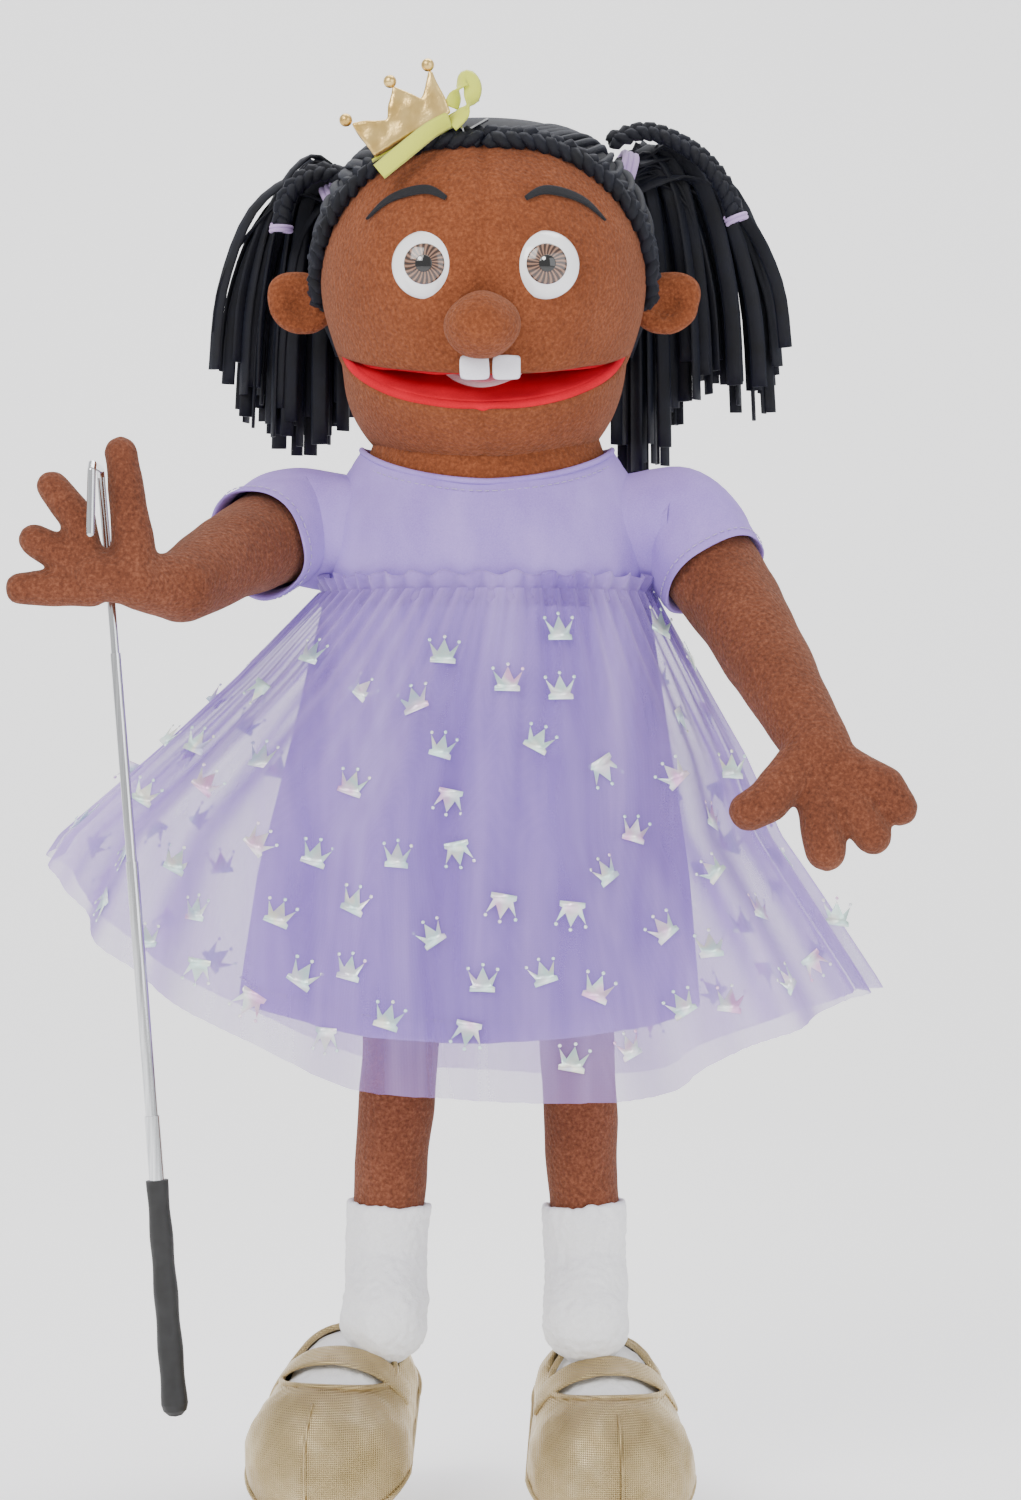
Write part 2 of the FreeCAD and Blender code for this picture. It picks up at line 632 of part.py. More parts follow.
# ---------------------------------------------------------------- write the nodes
def main():
    os.makedirs("parts", exist_ok=True)
    save("body_sleeve", body_sleeve())
    save("dress_bodice", bodice())
    save("neckline_binding", neckline_binding())
    save("waist_ruffle", waist_ruffle())
    save("skirt_lining", skirt_lining())
    save("tulle_overskirt", tulle_overskirt())
    save("neck_sleeve", neck_sleeve())

    irises, pupils, washers = [], [], []
    shell = head_shell()
    for side, name in ((-1, "right"), (1, "left")):
        white, iris, pupil, washer, post = eye(side)
        irises.append(iris)
        pupils.append(pupil)
        washers.append(washer)
        shell = shell.cut(post)
        save("eye_white_" + name, white)
        save("ear_" + name, ear(side))
        save("eyebrow_" + name, eyebrow(side))
    save("eye_irises", *irises)
    save("eye_pupils", *pupils)
    save("eye_lock_washers", *washers)
    save("head_shell", shell)
    save("head_foam", head_foam())
    save("upper_mouth_board", upper_board())
    save("upper_mouth_lining", upper_mouth_lining())
    save("front_teeth", *front_teeth())
    save("nose", nose())
    cap = hair_cap().cut(ear(-1)).cut(ear(1))
    save("hair_cap", cap)
    save("ponytail_left", ponytail(1, LEFT_TAIL, 40, 18))
    save("ponytail_right", ponytail(-1, RIGHT_TAIL, 40, 18))

    save("jaw_shell", jaw_shell())
    save("lower_mouth_board", lower_board())
    save("lower_mouth_lining", lower_mouth_lining())
    save("tongue", tongue())

    save("clip_lower_jaw", clip_lower_jaw())
    save("clip_upper_jaw", clip_upper_jaw())
    save("clip_pin", clip_pin())
    save("clip_spring", clip_spring())
    save("crown_pad", crown_pad())
    save("crown_beads", *crown_beads())

    for name, arm in (("right", right_arm), ("left", left_arm)):
        stuffing = arm(SKIN)
        save("arm_skin_" + name, arm().cut(stuffing))
        save("arm_stuffing_" + name, stuffing)
    save("sleeve_right", sleeve(-1, RIGHT_ELBOW, 32, 28))
    save("sleeve_left", sleeve(1, LEFT_ELBOW, 36, 28))

    save("rod_hook", rod_hook())
    save("rod_tube_first", tube(HOOK_JOINT_Z, 318, 1.9, 1.5))
    save("rod_tube_second", tube(402.6, 271, 2.4, 2.0))
    save("rod_tube_third", tube(307.8, 177, 2.9, 2.5))
    save("rod_tube_fourth", tube(192.2, 64, 3.5, 3.0))
    save("rod_grip", grip())

    for side, name in ((-1, "right"), (1, "left")):
        stuffing = leg(side, SKIN)
        save("leg_skin_" + name, leg(side).cut(stuffing))
        save("leg_stuffing_" + name, stuffing)
        foot = sock(side)
        save("sock_" + name, foot)
        block = shoe_upper(side).cut(foot).cut(leg(side))
        save("shoe_upper_" + name, block)
        save("shoe_sole_" + name, shoe_sole(side).cut(foot))
        save("shoe_strap_" + name, shoe_strap(side).cut(foot))


main()
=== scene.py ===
"""Plush hand puppet in a lilac dress with a telescopic arm rod: soft goods, materials, camera and light.

Helpers take millimetres in the frame of the CAD parts and write metres. Left and right are the puppet's own.
"""
import math
import random

import bmesh
import bpy
from mathutils import Matrix, Vector, noise


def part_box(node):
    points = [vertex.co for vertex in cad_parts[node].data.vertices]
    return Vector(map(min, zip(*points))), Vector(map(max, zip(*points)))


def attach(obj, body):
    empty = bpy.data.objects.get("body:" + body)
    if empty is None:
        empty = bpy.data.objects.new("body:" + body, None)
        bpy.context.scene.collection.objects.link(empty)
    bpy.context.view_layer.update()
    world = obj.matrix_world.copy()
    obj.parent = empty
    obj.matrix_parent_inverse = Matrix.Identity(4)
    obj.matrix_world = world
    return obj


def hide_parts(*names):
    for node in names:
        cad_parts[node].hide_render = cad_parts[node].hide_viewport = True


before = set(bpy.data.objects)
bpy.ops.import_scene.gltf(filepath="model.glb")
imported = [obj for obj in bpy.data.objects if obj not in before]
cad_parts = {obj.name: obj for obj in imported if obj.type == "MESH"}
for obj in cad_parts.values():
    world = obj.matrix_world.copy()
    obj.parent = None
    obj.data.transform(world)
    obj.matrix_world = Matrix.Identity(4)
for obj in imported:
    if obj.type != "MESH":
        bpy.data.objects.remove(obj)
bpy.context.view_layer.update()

MM = 0.001
SEED = 7
TINY = 1e-9
random.seed(SEED)


# ---------------------------------------------------------------- places taken from the frame
def box_mm(node):
    low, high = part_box(node)
    return Vector(low) / MM, Vector(high) / MM


HEAD_LOW, HEAD_HIGH = box_mm("head_shell")
HEAD_X = (HEAD_LOW.x + HEAD_HIGH.x) / 2
HEAD_TOP = HEAD_HIGH.z
HINGE_Z = 550.0
UPPER_SLOPE = math.tan(math.radians(14))
LOWER_SLOPE = math.tan(math.radians(30))
SIDE_WORD = {1: "left", -1: "right"}


# ---------------------------------------------------------------- mesh helpers
def circle_angles(count):
    """Evenly spaced angles once round, in radians."""
    return [2 * math.pi * k / count for k in range(count)]


def ellipse_point(rx, ry, angle, z=0.0):
    return Vector((rx * math.cos(angle), ry * math.sin(angle), z))


def finish_mesh(name, bm, mat, smooth=True):
    """Turn a bmesh in millimetres into a named object in metres."""
    bmesh.ops.scale(bm, vec=(MM, MM, MM), verts=bm.verts)
    bmesh.ops.recalc_face_normals(bm, faces=bm.faces)
    mesh = bpy.data.meshes.new(name)
    bm.to_mesh(mesh)
    bm.free()
    for poly in mesh.polygons:
        poly.use_smooth = smooth
    obj = bpy.data.objects.new(name, mesh)
    bpy.context.scene.collection.objects.link(obj)
    mesh.materials.append(mat)
    return obj


def add_rows(bm, rows, closed=True, cap_first=False, cap_last=False):
    """Add a quad skin over rows of points to bm."""
    verts = [[bm.verts.new(p) for p in row] for row in rows]
    count = len(rows[0])
    last = count if closed else count - 1
    for lower, upper in zip(verts, verts[1:]):
        for i in range(last):
            j = (i + 1) % count
            bm.faces.new((lower[i], lower[j], upper[j], upper[i]))
    if cap_first:
        bm.faces.new(list(reversed(verts[0])))
    if cap_last:
        bm.faces.new(verts[-1])


def skin(name, rows, mat, closed=True, cap_first=False, cap_last=False):
    bm = bmesh.new()
    add_rows(bm, rows, closed, cap_first, cap_last)
    return finish_mesh(name, bm, mat)


def apply_modifiers(obj):
    """Bake an object's modifiers into its mesh."""
    graph = bpy.context.evaluated_depsgraph_get()
    graph.update()
    mesh = bpy.data.meshes.new_from_object(obj.evaluated_get(graph))
    obj.modifiers.clear()
    obj.data = mesh
    for poly in mesh.polygons:
        poly.use_smooth = True
    return obj


def solidify(obj, thickness_mm, offset=-1.0):
    mod = obj.modifiers.new("cloth", "SOLIDIFY")
    mod.thickness = thickness_mm * MM
    mod.offset = offset
    return apply_modifiers(obj)


def subdivide(obj, levels=1):
    mod = obj.modifiers.new("round", "SUBSURF")
    mod.levels = levels
    mod.render_levels = levels
    return apply_modifiers(obj)


def remesh(obj, voxel_mm, smooth_steps):
    """Melt an object's pieces into one stuffed form."""
    mod = obj.modifiers.new("melt", "REMESH")
    mod.mode = "VOXEL"
    mod.voxel_size = voxel_mm * MM
    apply_modifiers(obj)
    mod = obj.modifiers.new("relax", "SMOOTH")
    mod.iterations = smooth_steps
    apply_modifiers(obj)


def soft_copy(node, name, mat, voxel_mm, smooth_steps, grow_mm=0.0, levels=1):
    """A stuffed form with the place and size of a CAD solid, to stand in for it."""
    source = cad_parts[node]
    obj = bpy.data.objects.new(name, source.data.copy())
    bpy.context.scene.collection.objects.link(obj)
    obj.data.materials.clear()
    obj.data.materials.append(mat)
    remesh(obj, voxel_mm, smooth_steps)
    if grow_mm:
        for v, n in [(v, v.normal.copy()) for v in obj.data.vertices]:
            v.co += n * grow_mm * MM
    if levels:
        subdivide(obj, levels)
    return obj


def put(obj, body, *nodes):
    """Let an object ride a body and hide the CAD solids that it stands in for."""
    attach(obj, body)
    if nodes:
        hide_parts(*nodes)
    return obj


def stand_in(name, nodes, body, mat, voxel_mm, smooth_steps, grow_mm, ripples, levels=1):
    """A stuffed copy of the first of the nodes, in place of them all."""
    obj = soft_copy(nodes[0], name, mat, voxel_mm, smooth_steps, grow_mm, levels)
    for size_mm, depth_mm, seed in ripples:
        ripple(obj, size_mm, depth_mm, seed)
    return put(obj, body, *nodes)


def ripple(obj, size_mm, depth_mm, seed=0.0):
    """Push a mesh in and out along its normals with smooth noise."""
    shift = Vector((seed, seed * 1.7, -seed))
    moves = []
    for v in obj.data.vertices:
        value = noise.noise(v.co / (size_mm * MM) + shift)
        moves.append(v.normal * (value * depth_mm * MM))
    for v, move in zip(obj.data.vertices, moves):
        v.co += move
    obj.data.update()
    return obj


def frames_along(points):
    """The way ahead and a steady side direction at each point of a path."""
    sides = []
    side = None
    for i in range(len(points)):
        ahead = points[min(i + 1, len(points) - 1)] - points[max(i - 1, 0)]
        ahead.normalize()
        if side is None:
            side = ahead.orthogonal()
        side = (side - ahead * side.dot(ahead)).normalized()
        sides.append((ahead, side.copy()))
    return sides


def add_tube(bm, points, radii, count=10, flat=1.0, side=None):
    """A round or flattened tube through points; flat squeezes it across side."""
    rows = []
    for (ahead, s), p, r in zip(frames_along(points), points, radii):
        if side is not None:
            s = (side - ahead * side.dot(ahead)).normalized()
        other = ahead.cross(s)
        rows.append([p + s * (math.cos(t) * r) + other * (math.sin(t) * r * flat)
                     for t in circle_angles(count)])
    add_rows(bm, rows, True, True, True)


def tube_object(name, paths, mat, count=10, flat=1.0):
    """Several tubes, each a (points, radii) pair, as one object."""
    bm = bmesh.new()
    for points, radii in paths:
        add_tube(bm, points, radii, count, flat)
    return finish_mesh(name, bm, mat)


def curve_through(points, steps):
    """Evenly spaced points on a smooth curve through the given ones."""
    out = []
    count = len(points)
    for i in range(count - 1):
        p0 = points[max(i - 1, 0)]
        p1, p2 = points[i], points[i + 1]
        p3 = points[min(i + 2, count - 1)]
        for k in range(steps):
            t = k / steps
            a = p1 * 2
            b = (p2 - p0) * t
            c = (p0 * 2 - p1 * 5 + p2 * 4 - p3) * t * t
            d = (p1 * 3 - p0 - p2 * 3 + p3) * t ** 3
            out.append((a + b + c + d) / 2)
    out.append(points[-1].copy())
    return out


def profile_radius(profile, z):
    """Radius of a turned outline at height z, smooth between its points."""
    points = [Vector((r, h, 0)) for r, h in profile]
    if z <= points[0].y:
        return points[0].x
    for i in range(len(points) - 1):
        if points[i].y <= z <= points[i + 1].y:
            p0 = points[max(i - 1, 0)]
            p1, p2 = points[i], points[i + 1]
            p3 = points[min(i + 2, len(points) - 1)]
            t = (z - p1.y) / (p2.y - p1.y)
            slope1 = (p2.x - p0.x) / (p2.y - p0.y)
            slope2 = (p3.x - p1.x) / (p3.y - p1.y)
            width = p2.y - p1.y
            h00 = 2 * t ** 3 - 3 * t ** 2 + 1
            h10 = t ** 3 - 2 * t ** 2 + t
            h01 = -2 * t ** 3 + 3 * t ** 2
            h11 = t ** 3 - t ** 2
            return max(h00 * p1.x + h10 * width * slope1 + h01 * p2.x + h11 * width * slope2, 0.0)
    return points[-1].x


def smoothstep(a, b, x):
    t = min(max((x - a) / (b - a), 0.0), 1.0)
    return t * t * (3 - 2 * t)


# ---------------------------------------------------------------- materials
class Nodes:
    """A short way to wire a shader."""

    def __init__(self, name, coordinates="Object"):
        self.mat = bpy.data.materials.new(name)
        self.mat.use_nodes = True
        self.tree = self.mat.node_tree
        self.tree.nodes.clear()
        self.out = self.tree.nodes.new("ShaderNodeOutputMaterial")
        self.coord = self.tree.nodes.new("ShaderNodeTexCoord").outputs[coordinates]

    def add(self, kind, inputs=None, **settings):
        node = self.tree.nodes.new("ShaderNode" + kind)
        for key, value in settings.items():
            setattr(node, key, value)
        for key, value in (inputs or {}).items():
            socket = node.inputs[key]
            if hasattr(value, "is_output"):
                self.tree.links.new(value, socket)
            else:
                socket.default_value = value
        return node

    def noise(self, scale, detail=3.0, roughness=0.6, stretch=None):
        vector = self.coord
        if stretch:
            vector = self.add("Mapping", {"Vector": vector, "Scale": stretch}).outputs["Vector"]
        inputs = {"Vector": vector, "Scale": scale, "Detail": detail, "Roughness": roughness}
        return self.add("TexNoise", inputs).outputs["Fac"]

    def cells(self, scale, randomness=1.0):
        node = self.add("TexVoronoi", {"Vector": self.coord, "Scale": scale, "Randomness": randomness})
        return node.outputs["Distance"]

    def wave(self, scale, axis="X", distortion=0.0):
        node = self.add("TexWave", {"Vector": self.coord, "Scale": scale, "Distortion": distortion})
        node.bands_direction = axis
        return node.outputs["Fac"]

    def ramp(self, value, stops):
        node = self.add("ValToRGB", {"Fac": value})
        ramp = node.color_ramp
        while len(ramp.elements) < len(stops):
            ramp.elements.new(0.5)
        for element, (place, colour) in zip(ramp.elements, stops):
            element.position = place
            element.color = (*colour, 1.0)
        return node.outputs["Color"]

    def math(self, operation, a, b=0.5):
        node = self.add("Math", operation=operation)
        for socket, value in zip(node.inputs, (a, b)):
            if hasattr(value, "is_output"):
                self.tree.links.new(value, socket)
            else:
                socket.default_value = value
        return node.outputs[0]

    def bump(self, height, distance_mm, strength=1.0, normal=None):
        inputs = {"Height": height, "Distance": distance_mm * MM, "Strength": strength}
        if normal:
            inputs["Normal"] = normal
        return self.add("Bump", inputs).outputs["Normal"]

    def principled(self, **inputs):
        shader = self.add("BsdfPrincipled", {k.replace("_", " "): v for k, v in inputs.items()})
        self.tree.links.new(shader.outputs[0], self.out.inputs["Surface"])
        return shader


def fleece(name, dark, middle, light):
    """Pilled fleece: curled tufts about 1.5 mm across over a slow change of shade."""
    n = Nodes(name)
    tufts = n.noise(620, 5, 0.65)
    curls = n.cells(520)
    slow = n.noise(18, 2)
    mixed = n.math("ADD", n.math("MULTIPLY", tufts, 0.75), n.math("MULTIPLY", slow, 0.25))
    colour = n.ramp(mixed, [(0.30, dark), (0.50, middle), (0.70, light)])
    height = n.math("ADD", tufts, n.math("MULTIPLY", curls, 0.6))
    normal = n.bump(height, 1.1, 0.75)
    n.principled(Base_Color=colour, Roughness=0.92, Normal=normal, Sheen_Weight=0.10, Sheen_Roughness=0.6,
                 Sheen_Tint=(1.0, 0.80, 0.66, 1.0), Specular_IOR_Level=0.15)
    return n.mat


def velvet(name, dark, light, sheen, sheen_tint, pile=1500, depth=0.25):
    """Short plush: a fine pile with brushed patches; the patches also lighten and darken the colour as painted
    shade and sheen of the brushed nap.
    """
    n = Nodes(name)
    fine = n.noise(pile, 3)
    brushed_nap_and_painted_shade = n.noise(28, 3, 0.6, (1.0, 1.0, 0.45))
    mixed = n.math("ADD", n.math("MULTIPLY", fine, 0.35), n.math("MULTIPLY", brushed_nap_and_painted_shade, 0.65))
    # colour: random tone of the fine pile, plus painted nap shade and sheen from the brushed patches
    colour = n.ramp(mixed, [(0.35, dark), (0.65, light)])
    normal = n.bump(brushed_nap_and_painted_shade, 0.6, 0.25, n.bump(fine, depth, 0.6))
    n.principled(Base_Color=colour, Roughness=0.85, Normal=normal, Sheen_Weight=sheen, Sheen_Roughness=0.35,
                 Sheen_Tint=(*sheen_tint, 1.0), Specular_IOR_Level=0.2)
    return n.mat


def felt(name, dark, light):
    """Pressed felt with short crossing fibres."""
    n = Nodes(name)
    fibres = n.noise(900, 6, 0.75, (1.0, 1.0, 3.0))
    colour = n.ramp(fibres, [(0.35, dark), (0.65, light)])
    n.principled(Base_Color=colour, Roughness=0.95, Normal=n.bump(fibres, 0.25, 0.7), Sheen_Weight=0.05)
    return n.mat


def tulle_net():
    """Sheer net: lets most light by when seen square on, and closes up where folds turn away; its colour is
    painted lighter and darker along fold streaks as painted fold shade.
    """
    n = Nodes("tulle_net")
    facing = n.add("LayerWeight", {"Blend": 0.45}).outputs["Facing"]
    folds = n.noise(30, 3, 0.6, (1.0, 1.0, 0.12))
    cover = n.math("ADD", n.math("MULTIPLY", facing, 0.85), n.math("MULTIPLY", folds, 0.80))
    mesh_dots = n.cells(1400, 0.25)
    cover = n.math("ADD", cover, n.math("MULTIPLY", mesh_dots, 0.10))
    # painted fold shade: the net's colour goes darker and lighter along the fold streaks
    colour = n.ramp(folds, [(0.3, (0.32, 0.19, 0.62)), (0.7, (0.58, 0.42, 0.86))])
    cloth = n.add("BsdfPrincipled", {"Base Color": colour, "Roughness": 0.55, "Sheen Weight": 0.4})
    glow = n.add("BsdfTranslucent", {"Color": colour})
    body = n.add("MixShader", {0: 0.35, 1: cloth.outputs[0], 2: glow.outputs[0]})
    clear = n.add("BsdfTransparent")
    mix = n.add("MixShader", {0: cover, 1: clear.outputs[0], 2: body.outputs[0]})
    n.tree.links.new(mix.outputs[0], n.out.inputs["Surface"])
    return n.mat


def foil():
    """Iridescent foil print with fine hatching and a faint painted glow from emission."""
    n = Nodes("crown_foil")
    hatch = n.wave(900, "X", 2.0)
    tint = n.noise(55, 2)
    colour = n.ramp(tint, [(0.32, (0.95, 0.55, 0.88)), (0.42, (0.98, 0.96, 1.0)), (0.55, (0.70, 0.97, 0.92)),
                           (0.66, (1.0, 0.98, 0.86)), (0.74, (0.72, 0.72, 1.0))])
    # the emission is a painted glow: the foil gives off light of its own colour
    n.principled(Base_Color=colour, Metallic=0.55, Roughness=0.22, Normal=n.bump(hatch, 0.15, 0.6),
                 Emission_Color=colour, Emission_Strength=0.12)
    return n.mat


def hair_jersey():
    """Matt jersey strips with fine ribs."""
    n = Nodes("hair_jersey")
    ribs = n.wave(700, "X", 3.0)
    slow = n.noise(60, 3)
    colour = n.ramp(slow, [(0.3, (0.0010, 0.0011, 0.003)), (0.7, (0.0030, 0.0038, 0.010))])
    n.principled(Base_Color=colour, Roughness=0.62, Normal=n.bump(ribs, 0.2, 0.5), Sheen_Weight=0.04,
                 Sheen_Roughness=0.5, Sheen_Tint=(0.35, 0.45, 0.8, 1.0), Specular_IOR_Level=0.3)
    return n.mat


def gold_lame():
    """Metallic cloth: a square weave about a millimetre wide with glints."""
    n = Nodes("gold_lame")
    weave = n.math("MULTIPLY", n.wave(330, "X"), n.wave(330, "Z"))
    glint = n.noise(1300, 2)
    patches = n.noise(40, 3)
    colour = n.ramp(patches, [(0.3, (0.40, 0.30, 0.14)), (0.55, (0.52, 0.40, 0.21)),
                              (0.75, (0.68, 0.56, 0.33))])
    rough = n.math("ADD", n.math("MULTIPLY", glint, 0.35), 0.18)
    normal = n.bump(weave, 0.55, 1.0, n.bump(patches, 1.6, 0.45))
    n.principled(Base_Color=colour, Metallic=0.92, Roughness=rough, Normal=normal, Specular_IOR_Level=0.5)
    return n.mat


def plastic(name, colour, rough):
    """Moulded plastic with a faint waviness."""
    n = Nodes(name)
    n.principled(Base_Color=(*colour, 1.0), Roughness=rough, Coat_Weight=0.6, Coat_Roughness=0.05,
                 Normal=n.bump(n.noise(120, 2), 0.05, 0.3))
    return n.mat


def iris_swirl():
    """Brown iris with fine curved rays, laid round the middle of its own bounding box."""
    n = Nodes("iris_swirl", "Generated")
    centred = n.add("VectorMath", {0: n.coord, 1: (0.5, 0.5, 0.5)}, operation="SUBTRACT").outputs[0]
    parts = n.add("SeparateXYZ", {0: centred}).outputs
    angle = n.math("ARCTAN2", parts["Z"], parts["X"])
    radius = n.add("VectorMath", {0: centred}, operation="LENGTH").outputs["Value"]
    twist = n.math("ADD", n.math("MULTIPLY", angle, 22.0), n.math("MULTIPLY", radius, 34.0))
    rays = n.math("ADD", n.math("MULTIPLY", n.math("SINE", twist), 0.5), 0.5)
    colour = n.ramp(rays, [(0.2, (0.030, 0.012, 0.007)), (0.55, (0.10, 0.042, 0.024)),
                           (0.9, (0.26, 0.14, 0.09))])
    n.principled(Base_Color=colour, Roughness=0.2, Coat_Weight=0.9, Coat_Roughness=0.03)
    return n.mat


def crown_gold():
    """Padded metallic leatherette with small creases."""
    n = Nodes("crown_gold")
    creases = n.noise(260, 4, 0.7)
    colour = n.ramp(n.noise(70, 2), [(0.3, (0.55, 0.34, 0.09)), (0.7, (0.84, 0.61, 0.24))])
    n.principled(Base_Color=colour, Metallic=0.9, Roughness=0.28, Normal=n.bump(creases, 0.5, 0.6))
    return n.mat


def ribbon():
    """Corded yellow ribbon."""
    n = Nodes("clip_ribbon")
    cords = n.wave(900, "X")
    colour = n.ramp(cords, [(0.2, (0.50, 0.56, 0.02)), (0.8, (0.80, 0.84, 0.08))])
    n.principled(Base_Color=colour, Roughness=0.5, Normal=n.bump(cords, 0.15, 0.6), Sheen_Weight=0.3)
    return n.mat


def steel():
    """Drawn stainless tube with faint lengthwise lines."""
    n = Nodes("polished_steel")
    drawn = n.noise(900, 2, 0.5, (1.0, 1.0, 0.02))
    colour = n.ramp(drawn, [(0.3, (0.55, 0.56, 0.58)), (0.7, (0.78, 0.79, 0.81))])
    n.principled(Base_Color=colour, Metallic=1.0, Roughness=0.14, Normal=n.bump(drawn, 0.02, 0.3))
    return n.mat


def grip_rubber():
    """Matt moulded rubber with a fine grain."""
    n = Nodes("grip_rubber")
    grain = n.noise(2200, 2)
    dips = n.noise(90, 2)
    colour = n.ramp(dips, [(0.3, (0.006, 0.006, 0.006)), (0.7, (0.016, 0.016, 0.017))])
    n.principled(Base_Color=colour, Roughness=0.55, Normal=n.bump(dips, 1.2, 0.5, n.bump(grain, 0.08, 0.5)))
    return n.mat


def elastic(name, colour):
    """Covered elastic with a fine twist."""
    n = Nodes(name)
    cords = n.wave(1100, "Z", 1.5)
    dark = tuple(c * 0.6 for c in colour)
    n.principled(Base_Color=n.ramp(cords, [(0.2, dark), (0.8, colour)]), Roughness=0.6,
                 Normal=n.bump(cords, 0.2, 0.6), Sheen_Weight=0.3)
    return n.mat


def pale_floor():
    n = Nodes("pale_floor")
    colour = n.ramp(n.noise(3, 2), [(0.3, (0.93, 0.93, 0.94)), (0.7, (0.95, 0.95, 0.955))])
    n.principled(Base_Color=colour, Roughness=0.9, Emission_Color=(1.0, 1.0, 1.0, 1.0),
                 Emission_Strength=0.42)
    return n.mat


FACE = fleece("face_fleece", (0.105, 0.025, 0.008), (0.195, 0.052, 0.018), (0.310, 0.098, 0.040))
LIMB = fleece("limb_fleece", (0.070, 0.018, 0.009), (0.145, 0.042, 0.020), (0.270, 0.095, 0.050))
# the velvet materials (dress, sock and mouth plush) carry painted nap shade from their brushed patches
DRESS = velvet("dress_velvet", (0.27, 0.17, 0.55), (0.40, 0.28, 0.70), 0.12, (0.80, 0.68, 1.0))
TULLE = tulle_net()
FOIL = foil()
HAIR = hair_jersey()
SOCK = velvet("sock_plush", (0.78, 0.78, 0.80), (0.92, 0.92, 0.93), 0.4, (1, 1, 1), 900, 0.8)
GOLD = gold_lame()
RED = velvet("mouth_plush", (0.42, 0.001, 0.010), (0.66, 0.002, 0.022), 0.05, (1.0, 0.3, 0.35))
TONGUE = felt("tongue_felt", (0.70, 0.20, 0.28), (0.84, 0.33, 0.42))
TONGUE_EDGE = felt("tongue_edge_felt", (0.80, 0.55, 0.62), (0.92, 0.72, 0.78))
TOOTH = felt("tooth_felt", (0.80, 0.79, 0.90), (0.93, 0.92, 0.99))
BROW = felt("brow_felt", (0.003, 0.003, 0.005), (0.012, 0.012, 0.016))
EYE = plastic("eye_white", (0.90, 0.90, 0.92), 0.12)
IRIS = iris_swirl()
PUPIL = plastic("eye_pupil", (0.002, 0.002, 0.002), 0.05)
# a white dot painted on each eye as its highlight
PAINTED_HIGHLIGHT = plastic("eye_painted_highlight", (0.95, 0.95, 0.95), 0.10)
CROWN = crown_gold()
RIBBON = ribbon()
STEEL = steel()
RUBBER = grip_rubber()
LILAC_BAND = elastic("lilac_elastic", (0.62, 0.42, 0.82))
THREAD = elastic("dress_thread", (0.58, 0.47, 0.80))
BOARD = plastic("mouth_board", (0.10, 0.10, 0.10), 0.5)
WASHER = plastic("washer_plastic", (0.7, 0.7, 0.7), 0.4)
STUFFING = felt("stuffing_fibre", (0.80, 0.80, 0.78), (0.93, 0.93, 0.91))


# ---------------------------------------------------------------- head
HEAD_PROFILE = [(52, 520), (64, 535), (71.5, 552), (76.5, 568), (78.5, 590), (75, 611), (66, 630),
                (51, 645), (30, 654), (0, HEAD_TOP)]
JAW_PROFILE = [(0, 492), (28, 493.5), (46, 499), (58.5, 511), (66, 528), (69.5, 552), (70, 560)]
NAPE_Z = 509.0
BACK_START = 6.0
LIP_ROUNDS = 12
UPPER_LIP_ROLL = ((1.6, -1.5), (4.5, -1.9), (8.0, -0.2), (9.5, 4.0))     # inward and up from the lip's edge
LOWER_LIP_ROLL = ((1.0, 1.3), (2.2, 1.7), (3.6, 1.0), (4.6, -3.0))
TONGUE_OUTLINE = ((-25, -17), (25, -17), (20, -30), (11, -42), (0, -47), (-11, -42), (-20, -30))
TOOTH_TOP, TOOTH_LOW = 540, 528.5
BLOB_RINGS = 28
CAP_DEPTH = 7.0      # how far a domed disc reaches back
EYE_INSET = 7.0      # from the front of the CAD eye back to the rim of the white dome


def round_head(r, a, z):
    """A point at radius r and angle a round the head's upright axis."""
    return Vector((HEAD_X + r * math.cos(a), r * math.sin(a), z))


def on_head(angle, z, lift=0.0):
    """A point on the head at an angle round it (-90 is the face) and a height."""
    return round_head(profile_radius(HEAD_PROFILE, z) + lift, math.radians(angle), z)


def face_point(x, z, lift=0.0):
    """A point on the front of the head, straight behind (x, z)."""
    r = profile_radius(HEAD_PROFILE, z) + lift
    return Vector((x, -math.sqrt(max(r * r - (x - HEAD_X) ** 2, 1.0)), z))


def lip_height(angle, slope, profile):
    """Height at which a lip's slope meets the outline of the head, found by repeated steps."""
    z = HINGE_Z
    for _ in range(LIP_ROUNDS):
        y = profile_radius(profile, z) * math.sin(math.radians(angle))
        z = HINGE_Z + min(y, 0.0) * slope
    return z


def seam_lift(x, seam_width, puff, dip):
    """How far the stuffed face stands out at x: puffed beside the centre seam, drawn in along it."""
    across = x - HEAD_X
    return puff * math.exp(-(across / 11.0) ** 2) - dip * math.exp(-(across / seam_width) ** 2)


def roll_edge(rows, out, roll):
    """Add one column of a rolled lip to the last rows; each step goes inward and up from the edge."""
    rim = rows[-1 - len(roll)][-1]
    for row, (inward, rise) in zip(rows[-len(roll):], roll):
        row.append(rim - out * inward + Vector((0, 0, rise)))


